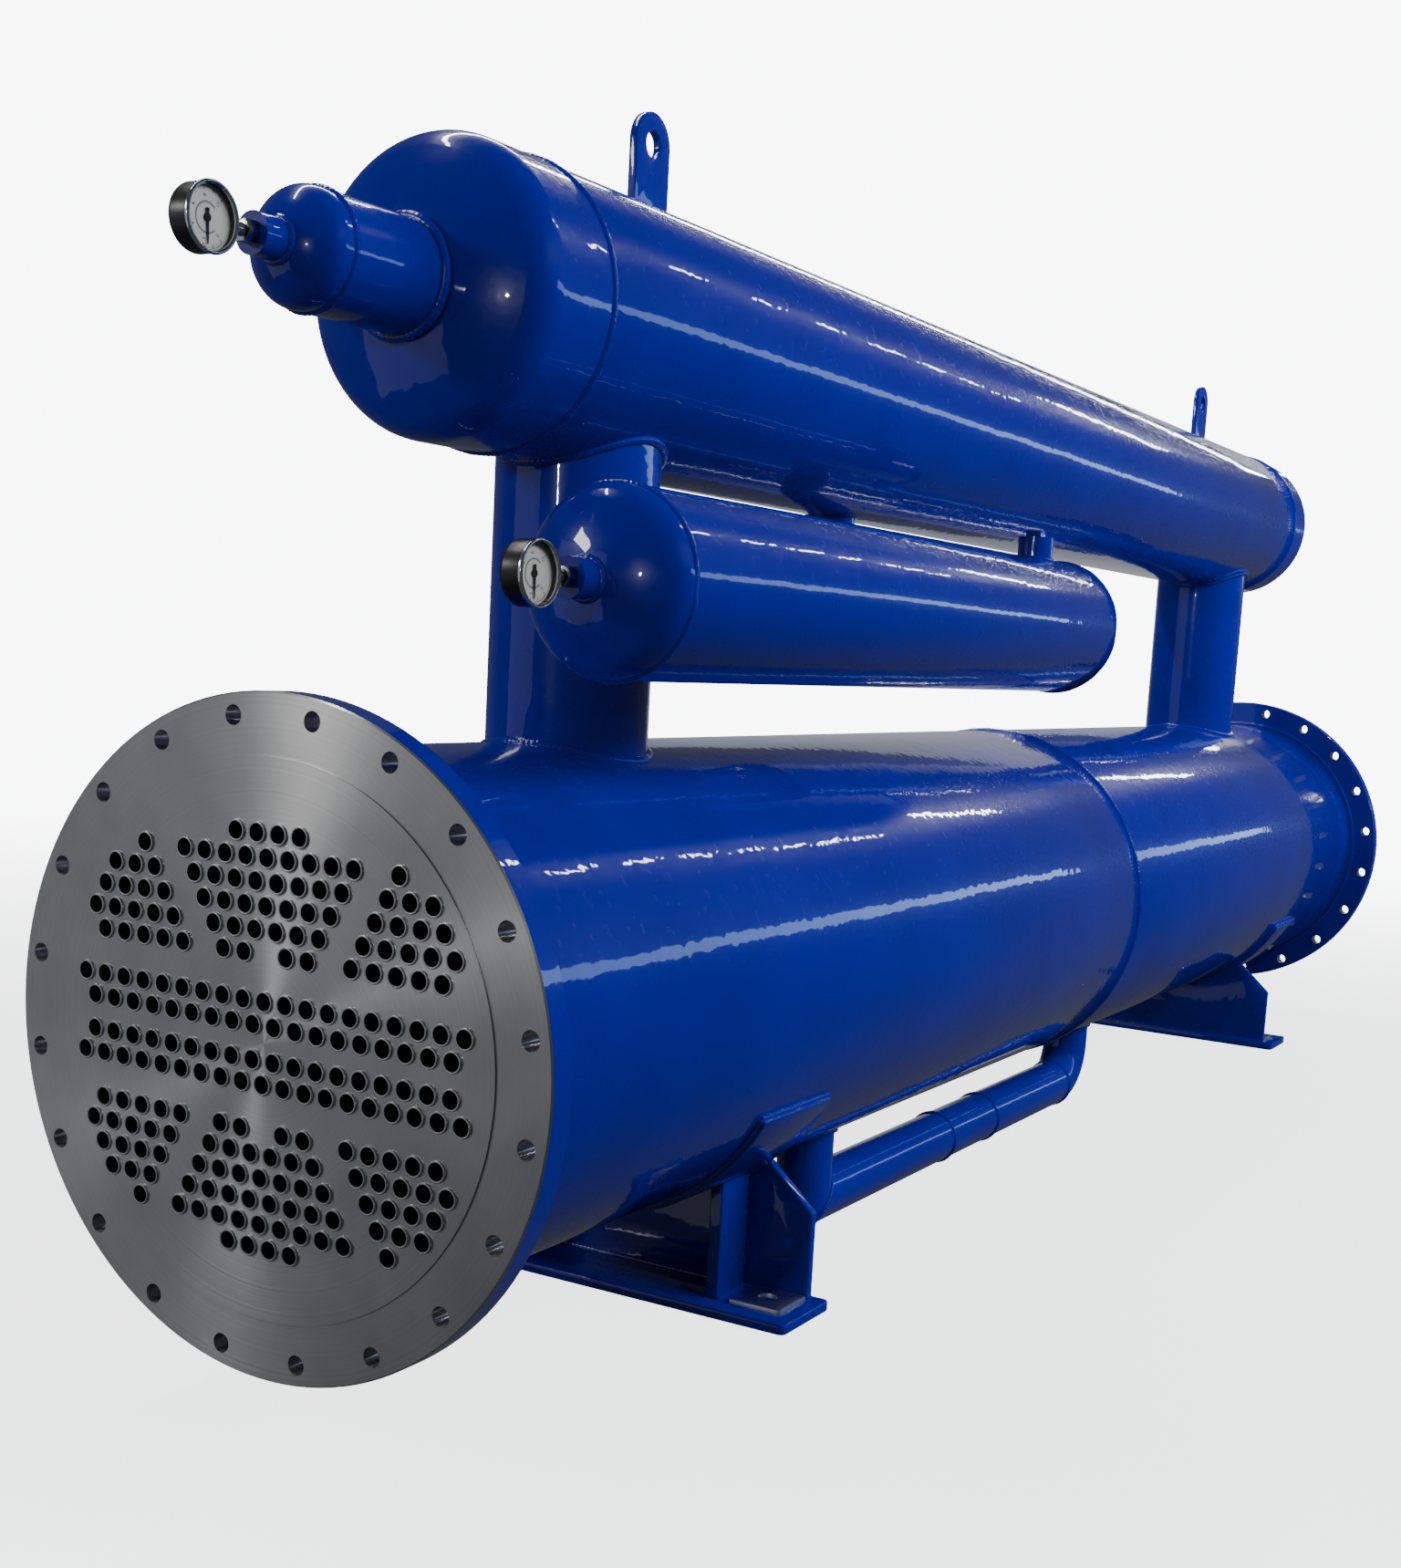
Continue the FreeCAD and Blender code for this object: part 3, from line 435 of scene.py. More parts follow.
# Real tool rings are 0.2 to 0.4 mm apart. They are drawn coarser, so that they show.
RING_MARK = 2.4 * MM
RING_RELIEF = 0.05 * MM
RIM_BAND = 2.5 * MM
FACING = 0.5
turned_steel, steel_out = start_material("lathe_turned_steel")
tree = turned_steel.node_tree
place = add(tree, "ShaderNodeTexCoord")
from_axis = add(tree, "ShaderNodeVectorMath", fields={"operation": "SUBTRACT"},
                links={0: place.outputs["Object"]})
from_axis.inputs[1].default_value = (0.0, 0.0, shell_axis)
flat = add(tree, "ShaderNodeVectorMath", fields={"operation": "MULTIPLY"},
           links={0: from_axis.outputs["Vector"]})
flat.inputs[1].default_value = (0.0, 1.0, 1.0)
distance = add(tree, "ShaderNodeVectorMath", fields={"operation": "LENGTH"},
               links={0: flat.outputs["Vector"]})
rings = add(tree, "ShaderNodeTexNoise", fields={"noise_dimensions": "1D"},
            values={"Scale": 1.0 / RING_MARK, "Detail": 4.0, "Roughness": 0.7},
            links={"W": distance.outputs["Value"]})
scuff = add(tree, "ShaderNodeTexNoise", values={"Scale": 1.0 / SCUFF_SIZE, "Detail": 5.0},
            links={"Vector": place.outputs["Object"]})
tone = add(tree, "ShaderNodeMix", fields={"data_type": "RGBA"},
           values={"A": linear("a9a8a7"), "B": linear("c6c5c3")},
           links={"Factor": rings.outputs["Fac"]})
stain = add(tree, "ShaderNodeMapRange",
            values={"From Min": 0.35, "From Max": 0.75, "To Max": 0.35},
            links={"Value": scuff.outputs["Fac"]})
worn = add(tree, "ShaderNodeMix", fields={"data_type": "RGBA"},
           values={"B": linear("8f8e8c")},
           links={"A": tone.outputs["Result"], "Factor": stain.outputs["Result"]})
ring_relief = add(tree, "ShaderNodeBump", values={"Strength": 0.6, "Distance": RING_RELIEF},
                  links={"Height": rings.outputs["Fac"]})
dullness = add(tree, "ShaderNodeMapRange", values={"To Min": 0.26, "To Max": 0.42},
               links={"Value": rings.outputs["Fac"]})
round_axis = add(tree, "ShaderNodeTangent", fields={"direction_type": "RADIAL", "axis": "X"})
steel_shader = add(tree, "ShaderNodeBsdfPrincipled",
                   values={"Metallic": 1.0, "Anisotropic": 0.88,
                           "Anisotropic Rotation": 0.25},
                   links={"Base Color": worn.outputs["Result"],
                          "Roughness": dullness.outputs["Result"],
                          "Normal": ring_relief.outputs["Normal"],
                          "Tangent": round_axis.outputs["Tangent"]})
tree.links.new(steel_shader.outputs["BSDF"], steel_out.inputs["Surface"])

for name, outward in (("front_tube_sheet", -1.0), ("rear_tube_sheet", 1.0)):
    mesh = frame["nodes"][name].data.copy()
    low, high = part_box(name)
    rim_from = (high.y - low.y) / 2.0 - RIM_BAND
    sheet = show(name + "_turned", mesh, turned_steel, "turned_steel", enamel)
    for polygon in mesh.polygons:
        middle = polygon.center
        on_rim = (math.hypot(middle.y, middle.z - shell_axis) > rim_from
                  and abs(polygon.normal.x) < FACING)
        inner_side = polygon.normal.x * outward < -FACING
        polygon.material_index = 1 if on_rim or inner_side else 0
    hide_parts(name)


# Tubes: 3/4 inch drawn steel, rolled into both sheets with their cut ends standing out a
# little. The cut lip is bright. A few millimetres in, the bore turns brown-black: this is
# painted shade of the deep, narrow bore, with a faint mottle for mill scale.
LIP_EASE = 0.7 * MM
TUBE_STEPS = 28
TUBE_WALL = 1.83 * MM
BRIGHT_FROM = 4.0 * MM
BRIGHT_FULL = 1.0 * MM
SCALE_GRAIN = 3.0 * MM
SAME_POINT = 0.01 * MM
tube_steel, tube_out = start_material("drawn_tube_steel")
tree = tube_steel.node_tree
place = add(tree, "ShaderNodeTexCoord")
ways = add(tree, "ShaderNodeSeparateXYZ", links={"Vector": place.outputs["Object"]})
tube_low, tube_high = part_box("tube_bundle")
tube_middle = (tube_low.x + tube_high.x) / 2.0
tube_half = (tube_high.x - tube_low.x) / 2.0
offset = add(tree, "ShaderNodeMath", fields={"operation": "SUBTRACT"},
             links={0: ways.outputs["X"]})
offset.inputs[1].default_value = tube_middle
from_middle = add(tree, "ShaderNodeMath", fields={"operation": "ABSOLUTE"},
                  links={0: offset.outputs["Value"]})
# How far into the bore: from 1 to 4 mm in, the colour darkens to painted shade of the bore.
depth = add(tree, "ShaderNodeMapRange",
            values={"From Min": tube_half - BRIGHT_FROM, "From Max": tube_half - BRIGHT_FULL},
            links={"Value": from_middle.outputs["Value"]})
scale_grain = add(tree, "ShaderNodeTexNoise", values={"Scale": 1.0 / SCALE_GRAIN},
                  links={"Vector": place.outputs["Object"]})
# The bore's colour: near-black painted shade of the deep bore, mottled like mill scale.
bore_shade_and_scale = add(tree, "ShaderNodeMix", fields={"data_type": "RGBA"},
                 values={"A": linear("151415"), "B": linear("2a2725")},
                 links={"Factor": scale_grain.outputs["Fac"]})
lip_and_shaded_bore = add(tree, "ShaderNodeMix", fields={"data_type": "RGBA"},
               values={"B": linear("b9babb")},
               links={"A": bore_shade_and_scale.outputs["Result"], "Factor": depth.outputs["Result"]})
lip_gloss = add(tree, "ShaderNodeMapRange", values={"To Min": 0.6, "To Max": 0.28},
                links={"Value": depth.outputs["Result"]})
tube_shader = add(tree, "ShaderNodeBsdfPrincipled", values={"Metallic": 1.0},
                  links={"Base Color": lip_and_shaded_bore.outputs["Result"],
                         "Roughness": lip_gloss.outputs["Result"]})
tree.links.new(tube_shader.outputs["BSDF"], tube_out.inputs["Surface"])


def islands(mesh):
    """The separate closed bodies of a mesh, each as the list of its points."""
    owner = list(range(len(mesh.vertices)))

    def root(i):
        while owner[i] != i:
            owner[i] = owner[owner[i]]
            i = owner[i]
        return i

    seen = {}
    for vertex in mesh.vertices:
        key = tuple(round(c / SAME_POINT) for c in vertex.co)
        owner[root(vertex.index)] = root(seen.setdefault(key, vertex.index))
    for edge in mesh.edges:
        owner[root(edge.vertices[0])] = root(edge.vertices[1])
    groups = {}
    for vertex in mesh.vertices:
        groups.setdefault(root(vertex.index), []).append(vertex.co)
    return list(groups.values())


tube_places = []
tube_r = 0.0
for body in islands(frame["nodes"]["tube_bundle"].data):
    heights = [p.z for p in body]
    asides = [p.y for p in body]
    tube_r = (max(heights) - min(heights)) / 2.0
    tube_places.append(((max(asides) + min(asides)) / 2.0, (max(heights) + min(heights)) / 2.0))
tube_length = tube_high.x - tube_low.x
bore_r = tube_r - TUBE_WALL
# Round the tube's wall from the middle of the bore, where its two ends meet.
wall = [(tube_length / 2.0, bore_r), (0, bore_r), (0, tube_r), (tube_length, tube_r),
        (tube_length, bore_r), (tube_length / 2.0 + MM, bore_r)]
section = eased([Vector(p) for p in wall], LIP_EASE, steps=2)
points = []
faces = []
for y, z in tube_places:
    base = len(points)
    for way, reach in section:
        for p in circle(Vector((tube_low.x + way, y, z)), ALONG, reach, TUBE_STEPS):
            points.append(tuple(p))
    for r in range(len(section)):
        here = base + r * TUBE_STEPS
        there = base + (r + 1) % len(section) * TUBE_STEPS
        for i in range(TUBE_STEPS):
            j = (i + 1) % TUBE_STEPS
            faces.append((here + i, there + i, there + j, here + j))
mesh = bpy.data.meshes.new("tube_bundle_drawn")
mesh.from_pydata(points, [], faces)
mesh.shade_smooth()
mesh.set_sharp_from_angle(angle=math.radians(50.0))
tubes = show("tube_bundle_drawn", mesh, tube_steel, "tube_steel")
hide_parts("tube_bundle")


# Surge drum: a 273 mm pipe with a pressed cap welded on each end, and a capped length of
# 4 inch pipe on its front crown for the dial. All of it is painted over its welds.
DRUM_BEAD = 4.5 * MM
DRUM_BEAD_SINK = 1.8 * MM
POT_CAP_BEAD = 3.5 * MM
POT_CAP_SINK = 1.2 * MM
POT_ROOT_BEAD = 5.0 * MM
POT_ROOT_BACK = 4.5 * MM
POT_ROOT_TOE = 1.0 * MM


def paint(*nodes, finish=enamel):
    """Give carried-over pieces the enamel, or another finish."""
    for node in nodes:
        for part in frame["nodes"][node].material_slots:
            part.material = finish


drum_low, drum_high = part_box("surge_drum_pipe")
drum_r = (drum_high.z - drum_low.z) / 2.0
drum_axis = (drum_high.z + drum_low.z) / 2.0
drum_length = drum_high.x - drum_low.x
drum = turned("surge_drum_skin", (drum_low.x, 0, drum_axis), ALONG,
              [(0, 0), (0, drum_r), (drum_length, drum_r), (drum_length, 0)],
              enamel, "blue_paint")
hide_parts("surge_drum_pipe")
paint("surge_drum_front_cap", "surge_drum_rear_cap", "gauge_pot_pipe", "gauge_pot_cap")
for name, x in (("drum_front_weld", drum_low.x), ("drum_rear_weld", drum_high.x)):
    ring_bead(name, (x, 0, drum_axis), ALONG, drum_r - DRUM_BEAD_SINK, DRUM_BEAD)
pot_low, pot_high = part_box("gauge_pot_pipe")
pot_r = (pot_high.z - pot_low.z) / 2.0
ring_bead("pot_cap_weld", (pot_low.x, 0, drum_axis), ALONG, pot_r - POT_CAP_SINK, POT_CAP_BEAD)
ring_bead("pot_root_weld", (pot_high.x - POT_ROOT_BACK, 0, drum_axis), ALONG,
          pot_r + POT_ROOT_TOE, POT_ROOT_BEAD)


# Risers: 6 inch steel pipes cut to a saddle at both ends, so that they sit round the shell
# and under the surge drum. They carry the drum, and a fillet runs round each end.
RISER_BEAD = 5.0 * MM
RISER_TOE = 1.0 * MM
paint("front_riser", "rear_riser")
for end in ("front", "rear"):
    low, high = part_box(end + "_riser")
    x = (low.x + high.x) / 2.0
    riser_r = (high.x - low.x) / 2.0
    weld_r = riser_r + RISER_TOE
    branch_bead(end + "_riser_foot_weld", x, 0.0, weld_r, 0.0, shell_axis, shell_r, 1,
                RISER_BEAD)
    branch_bead(end + "_riser_head_weld", x, 0.0, weld_r, 0.0, drum_axis, drum_r, -1,
                RISER_BEAD)


# Side drum: a 6 inch pipe with shallow pressed caps, carried by two small link pipes on
# its hidden side, with a plugged boss on top.
SIDE_BEAD = 4.0 * MM
SIDE_BEAD_SINK = 1.5 * MM
BOSS_BEAD = 3.0 * MM
BOSS_TOE = 0.5 * MM
LINK_BEAD = 3.5 * MM
PLUG_EASE = 1.2 * MM
side_low, side_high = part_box("side_drum_pipe")
side_r = (side_high.z - side_low.z) / 2.0
side_axis = (side_high.z + side_low.z) / 2.0
side_y = (side_high.y + side_low.y) / 2.0
side_length = side_high.x - side_low.x
side_drum = turned("side_drum_skin", (side_low.x, side_y, side_axis), ALONG,
                   [(0, 0), (0, side_r), (side_length, side_r), (side_length, 0)],
                   enamel, "blue_paint")
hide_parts("side_drum_pipe")
paint("side_drum_front_cap", "side_drum_rear_cap", "side_drum_boss", "front_link", "rear_link")
for name, x in (("side_drum_front_weld", side_low.x), ("side_drum_rear_weld", side_high.x)):
    weld = ring_bead(name, (x, side_y, side_axis), ALONG, side_r - SIDE_BEAD_SINK, SIDE_BEAD)
    for point in weld.data.vertices:  # dressed flush where the drum reaches farthest out
        point.co.y = max(point.co.y, frame_box[0][1])
low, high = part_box("side_drum_boss")
branch_bead("boss_weld", (low.x + high.x) / 2.0, side_y, (high.x - low.x) / 2.0 + BOSS_TOE,
            side_y, side_axis, side_r, 1, BOSS_BEAD)


FLAT_UNDER = 0.5
EDGE_OVER = 40.0


def softened(node, ease, material, slot):
    """A carried-over piece with its edges rounded, as a thick coat or a file leaves them."""
    shape = bmesh.new()
    shape.from_mesh(frame["nodes"][node].data)
    bmesh.ops.remove_doubles(shape, verts=shape.verts, dist=SAME_POINT)
    bmesh.ops.dissolve_limit(shape, angle_limit=math.radians(FLAT_UNDER), verts=shape.verts,
                             edges=shape.edges)
    mesh = bpy.data.meshes.new(node + "_soft")
    shape.to_mesh(mesh)
    shape.free()
    rough = bpy.data.objects.new(node + "_rough", mesh)
    bpy.context.scene.collection.objects.link(rough)
    round_over = rough.modifiers.new("round_over", "BEVEL")
    round_over.width = ease
    round_over.segments = 3
    round_over.limit_method = "ANGLE"
    round_over.angle_limit = math.radians(EDGE_OVER)
    ready = rough.evaluated_get(bpy.context.evaluated_depsgraph_get())
    finished = bpy.data.meshes.new_from_object(ready)
    bpy.data.objects.remove(rough)
    finished.shade_smooth()
    finished.set_sharp_from_angle(angle=math.radians(SMOOTH_UNDER))
    made = show(node + "_soft", finished, material, slot)
    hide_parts(node)
    return made


softened("side_drum_plug", PLUG_EASE, enamel, "blue_paint")
link_low, link_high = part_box("front_link")
link_r = (link_high.z - link_low.z) / 2.0
link_x = (link_low.x + link_high.x) / 2.0


def link_bead(name, x, main_y, main_r, side, upright):
    """The weld where a link pipe that lies along Y meets an upright or a level pipe."""
    steps = int(2.0 * math.pi * link_r / BEAD_STEP)
    line = []
    for i in range(steps):
        a = 2.0 * math.pi * i / steps
        across = math.cos(a) * link_r
        up = math.sin(a) * link_r
        reach = math.sqrt(main_r ** 2 - (across if upright else up) ** 2)
        line.append(Vector((x + across, main_y + side * reach, side_axis + up)))
    bead(name, line, LINK_BEAD, (0, 1, 0))


link_bead("front_link_riser_weld", link_x, 0.0, riser_r, -1.0, True)
link_bead("front_link_drum_weld", link_x, side_y, side_r, 1.0, False)
low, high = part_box("rear_link")
rear_link_x = (low.x + high.x) / 2.0
link_bead("rear_link_drum_weld", rear_link_x, side_y, side_r, 1.0, False)
branch_bead("rear_link_head_weld", rear_link_x, 0.0, link_r, 0.0, drum_axis, drum_r, -1,
            LINK_BEAD)


# Lifting lugs: flame-cut steel plates with a round top and a drilled eye. Each is welded
# upright on the drum's top by a fillet along both of its faces.
LUG_EASE = 1.4 * MM
LUG_BEAD = 4.0 * MM
softened("lifting_lugs", LUG_EASE, enamel, "blue_paint")
lug_low, lug_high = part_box("lifting_lugs")
stated = {mount["name"]: mount for mount in frame["record"]["mounts"]}
lug_width = 2.0 * (stated["front_lug_eye"]["pos_m"][0] - lug_low.x)
lug_half = (lug_high.y - lug_low.y) / 2.0
foot_z = drum_axis + math.sqrt(drum_r ** 2 - lug_half ** 2)
for name, x in (("front_lug", lug_low.x + lug_width / 2.0),
                ("rear_lug", lug_high.x - lug_width / 2.0)):
    for side, tag in ((-1, "_near_weld"), (1, "_far_weld")):
        line_bead(name + tag, (x - lug_width / 2.0, side * lug_half, foot_z),
                  (x + lug_width / 2.0, side * lug_half, foot_z), LUG_BEAD)


# Bottom loop: 2 1/2 inch pipe under the shell. Its front corner is two pipes cut to a
# mitre, its rear corner is a bought bend, and its run is made up from three lengths.
FIRST_JOINT = 398.0 * MM
SECOND_JOINT = 558.0 * MM
# The round of a 45 degree cut is about a fifth longer than the pipe's own.
MITRE_STRETCH = 1.2
LOOP_BEAD = 3.5 * MM
LOOP_BEAD_SINK = 1.0 * MM
LEG_BEAD = 4.0 * MM
LEG_TOE = 0.5 * MM
paint("loop_front_leg", "loop_run", "loop_rear_leg")
leg_low, leg_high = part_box("loop_front_leg")
run_low, run_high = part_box("loop_run")
loop_r = (run_high.y - run_low.y) / 2.0
loop_y = (run_high.y + run_low.y) / 2.0
loop_z = (run_high.z + run_low.z) / 2.0
front_leg_x = (leg_low.x + leg_high.x) / 2.0
rear_leg_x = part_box("loop_rear_leg")[1].x - loop_r
mitre = []
mitre_steps = int(2.0 * math.pi * loop_r * MITRE_STRETCH / BEAD_STEP)
for i in range(mitre_steps):
    a = 2.0 * math.pi * i / mitre_steps
    slant = loop_r * math.cos(a)
    mitre.append(Vector((front_leg_x + slant, loop_y + loop_r * math.sin(a), loop_z + slant)))
bead("mitre_weld", mitre, LOOP_BEAD, (1, 0, -1))
for name, x in (("run_weld_1", front_leg_x + FIRST_JOINT),
                ("run_weld_2", front_leg_x + SECOND_JOINT), ("bend_weld", run_high.x)):
    ring_bead(name, (x, loop_y, loop_z), ALONG, loop_r - LOOP_BEAD_SINK, LOOP_BEAD)
for name, x in (("front_leg_weld", front_leg_x), ("rear_leg_weld", rear_leg_x)):
    branch_bead(name, x, loop_y, loop_r + LEG_TOE, 0.0, shell_axis, shell_r, -1, LEG_BEAD)


# Saddles: flame-cut plate, welded up and painted with the vessel. The thick wet coat
# rounds every edge. A square zinc-plated washer lies on each foundation hole.
PLATE_EASE = 2.0 * MM
FILLET = 3.5 * MM
WRAPPER_THICK = 8.0 * MM
WRAPPER_TOE = 1.0 * MM
RIB_THICK = 16.0 * MM
WEB_END = 4.0 * MM
RIB_END = 2.0 * MM
SEAT_INSET = 60.0 * MM
MOST_OF_ROUND = 0.98
foundation = stated["foundation_bolts"]["dims"]
foot_spread = foundation["spacing_y_mm"] * MM
foot_hole_r = foundation["hole_r_mm"] * MM
seat_r = shell_r + WRAPPER_THICK
wrap_toe_r = shell_r + WRAPPER_TOE


def arc_bead(name, x, radius, half, steps):
    """A fillet round the shell's underside, from half to the near side to half to the far."""
    arc = [Vector((x, radius * math.sin(a), shell_axis - radius * math.cos(a)))
           for a in (-half + 2.0 * half * i / steps for i in range(steps + 1))]
    bead(name, arc, FILLET, ALONG, closed=False)


for end in ("front_saddle", "rear_saddle"):
    for piece in ("_base", "_web", "_wrapper", "_ribs"):
        softened(end + piece, PLATE_EASE, enamel, "blue_paint")
    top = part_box(end + "_base")[1].z
    web_low, web_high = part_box(end + "_web")
    rib_low, rib_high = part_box(end + "_ribs")
    wrap_low, wrap_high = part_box(end + "_wrapper")
    seat_half = math.asin(min(MOST_OF_ROUND, (web_high.y - SEAT_INSET) / seat_r))
    for x, face in ((web_low.x, "_low"), (web_high.x, "_high")):
        line_bead(end + "_foot_weld" + face, (x, web_low.y + WEB_END, top),
                  (x, web_high.y - WEB_END, top), FILLET)
        arc_bead(end + "_seat_weld" + face, x, seat_r, seat_half,
                 int(2.0 * seat_half * seat_r / BEAD_STEP))
    wrap_half = math.acos((shell_axis - wrap_high.z) / shell_r)
    for x, face in ((wrap_low.x, "_low"), (wrap_high.x, "_high")):
        arc_bead(end + "_wrap_weld" + face, x, wrap_toe_r, wrap_half,
                 int(2.0 * wrap_half * shell_r / BEAD_STEP))
    z = shell_axis - wrap_toe_r * math.cos(wrap_half)
    for side, tag in ((-1, "_near"), (1, "_far")):
        y = side * wrap_toe_r * math.sin(wrap_half)
        line_bead(end + "_wrap_side_weld" + tag, (wrap_low.x, y, z), (wrap_high.x, y, z), FILLET)
        for mark, rib_y in (("_out", rib_high.y), ("_in", rib_high.y - RIB_THICK)):
            line_bead(end + "_rib_weld" + tag + mark, (rib_low.x + RIB_END, side * rib_y, top),
                      (rib_high.x - RIB_END, side * rib_y, top), FILLET)


# Washer plates: square steel plate, sheared, drilled and bright zinc plated, laid over the
# feet's foundation holes. The zinc has a fine pale mottle, faintly blue.
WASHER_SIDE = 65.0 * MM
WASHER_THICK = 5.0 * MM
WASHER_EASE = 0.8 * MM
WASHER_CORNER = 3.0 * MM
WASHER_STEPS = 64
SPANGLE = 4.0 * MM
zinc, zinc_out = start_material("bright_zinc_plate")
tree = zinc.node_tree
place = add(tree, "ShaderNodeTexCoord")
spangle = add(tree, "ShaderNodeTexNoise", values={"Scale": 1.0 / SPANGLE, "Detail": 3.0},
              links={"Vector": place.outputs["Object"]})
zinc_tone = add(tree, "ShaderNodeMix", fields={"data_type": "RGBA"},
                values={"A": linear("cfd5da"), "B": linear("f0f2f4")},
                links={"Factor": spangle.outputs["Fac"]})
zinc_haze = add(tree, "ShaderNodeMapRange", values={"To Min": 0.34, "To Max": 0.55},
                links={"Value": spangle.outputs["Fac"]})
zinc_shader = add(tree, "ShaderNodeBsdfPrincipled", values={"Metallic": 1.0},
                  links={"Base Color": zinc_tone.outputs["Result"],
                         "Roughness": zinc_haze.outputs["Result"]})
tree.links.new(zinc_shader.outputs["BSDF"], zinc_out.inputs["Surface"])


def washer_plate(name, centre):
    """A square plate with a round hole: rings that pass from the hole's wall to the edge."""
    ease = WASHER_EASE
    bend = ease * 0.3
    rings = []
    for reach, height, square in ((0.0, 0.0, False), (0.0, WASHER_THICK - ease, False),
                                  (bend, WASHER_THICK - bend, False),
                                  (ease, WASHER_THICK, False), (ease, WASHER_THICK, True),
                                  (bend, WASHER_THICK - bend, True),
                                  (0.0, WASHER_THICK - ease, True), (0.0, 0.0, True)):
        ring = []
        for i in range(WASHER_STEPS):
            a = 2.0 * math.pi * (i + 0.5) / WASHER_STEPS
            if square:
                grow = WASHER_SIDE / 2.0 - reach
                scale = grow / max(abs(math.cos(a)), abs(math.sin(a)))
                x = max(-grow, min(grow, scale * math.cos(a)))
                y = max(-grow, min(grow, scale * math.sin(a)))
                inner = grow - WASHER_CORNER
                over = Vector((abs(x) - inner, abs(y) - inner))
                if over.x > 0 and over.y > 0:
                    over = over.normalized() * WASHER_CORNER
                    x = math.copysign(inner + over.x, x)
                    y = math.copysign(inner + over.y, y)
            else:
                x = (foot_hole_r + reach) * math.cos(a)
                y = (foot_hole_r + reach) * math.sin(a)
            ring.append(centre + Vector((x, y, height)))
        rings.append(ring)
    skin(name, rings, zinc, "bright_steel", around=True)


for end, way in (("front_saddle", -1), ("rear_saddle", 1)):
    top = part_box(end + "_base")[1].z
    bolt_x = foundation["spacing_x_mm"] * MM / 2.0 * way
    for side, tag in ((-1, "_near_washer"), (1, "_far_washer")):
        washer_plate(end + tag, Vector((bolt_x, side * foot_spread / 2.0, top)))


# Dial gauges: small pressed steel cases on a nickel-plated brass stem. The case is stoved
# black, its front ring is rolled stainless, and the dial is white printed tinplate.
GRAIN_RELIEF = 0.02 * MM
SMEAR_SIZE = 12.0 * MM


def plain_finish(name, low_hex, high_hex, grain, values, rough):
    """A finish with a fine mottle in colour and gloss, for small painted or plated parts."""
    finish, out = start_material(name)
    nodes = finish.node_tree
    where = add(nodes, "ShaderNodeTexCoord")
    mottle = add(nodes, "ShaderNodeTexNoise", values={"Scale": 1.0 / grain, "Detail": 3.0},
                 links={"Vector": where.outputs["Object"]})
    tint = add(nodes, "ShaderNodeMix", fields={"data_type": "RGBA"},
               values={"A": linear(low_hex), "B": linear(high_hex)},
               links={"Factor": mottle.outputs["Fac"]})
    sheen = add(nodes, "ShaderNodeMapRange", values={"To Min": rough[0], "To Max": rough[1]},
                links={"Value": mottle.outputs["Fac"]})
    grainy = add(nodes, "ShaderNodeBump", values={"Strength": 0.4, "Distance": GRAIN_RELIEF},
                 links={"Height": mottle.outputs["Fac"]})
    shader = add(nodes, "ShaderNodeBsdfPrincipled", values=values,
                 links={"Base Color": tint.outputs["Result"],
                        "Roughness": sheen.outputs["Result"],
                        "Normal": grainy.outputs["Normal"]})
    nodes.links.new(shader.outputs["BSDF"], out.inputs["Surface"])
    return finish


nickel = plain_finish("nickel_plated_brass", "a9a8a3", "d0cfca", 1.5 * MM,
                      {"Metallic": 1.0}, (0.12, 0.26))
stainless = plain_finish("rolled_stainless", "b6b8ba", "d6d8da", 2.0 * MM,
                         {"Metallic": 1.0}, (0.10, 0.2))
stoved_black = plain_finish("stoved_black", "0b0b0c", "161617", 0.8 * MM, {"IOR": 1.5},
                            (0.28, 0.42))
tinplate_white = plain_finish("white_tinplate", "dfe0dc", "ececea", 3.0 * MM, {"IOR": 1.5},
                              (0.42, 0.55))
dial_ink = plain_finish("dial_ink", "0e0e10", "1b1b1e", 0.6 * MM, {"IOR": 1.45}, (0.5, 0.65))
grey_ink = plain_finish("grey_dial_ink", "85888c", "94979b", 0.6 * MM, {"IOR": 1.45},
                        (0.5, 0.65))

glass, glass_out = start_material("window_glass")
tree = glass.node_tree
edge_gloss = add(tree, "ShaderNodeLayerWeight", values={"Blend": 0.25})
cover = add(tree, "ShaderNodeMapRange", values={"To Min": 0.03, "To Max": 0.5},
            links={"Value": edge_gloss.outputs["Facing"]})
place = add(tree, "ShaderNodeTexCoord")
smear = add(tree, "ShaderNodeTexNoise", values={"Scale": 1.0 / SMEAR_SIZE},
            links={"Vector": place.outputs["Object"]})
smear_gloss = add(tree, "ShaderNodeMapRange", values={"To Min": 0.02, "To Max": 0.08},
                  links={"Value": smear.outputs["Fac"]})
glass_shader = add(tree, "ShaderNodeBsdfPrincipled",
                   values={"Base Color": linear("3a4244"), "IOR": 1.5},
                   links={"Alpha": cover.outputs["Result"],
                          "Roughness": smear_gloss.outputs["Result"]})
tree.links.new(glass_shader.outputs["BSDF"], glass_out.inputs["Surface"])

SCALE_START = 45.0
SCALE_SWEEP = 270.0
MAJOR_STEPS = 10
MINOR_PER_MAJOR = 5
INNER_STEPS = 30
RING_STEPS = 90
# Places on the dial, as shares of its radius.
RING_AT = 0.92
MAJOR_FROM = 0.78
MINOR_FROM = 0.84
FIGURE_AT = 0.64
INNER_RING_AT = 0.46
INNER_FROM = 0.40
INK_THICK = 0.08 * MM
MAJOR_LINE = 0.65 * MM
MINOR_LINE = 0.3 * MM
INNER_LINE = 0.35 * MM
INNER_BAND = 1.3 * MM
FIGURE_SIZE = 4.6 * MM
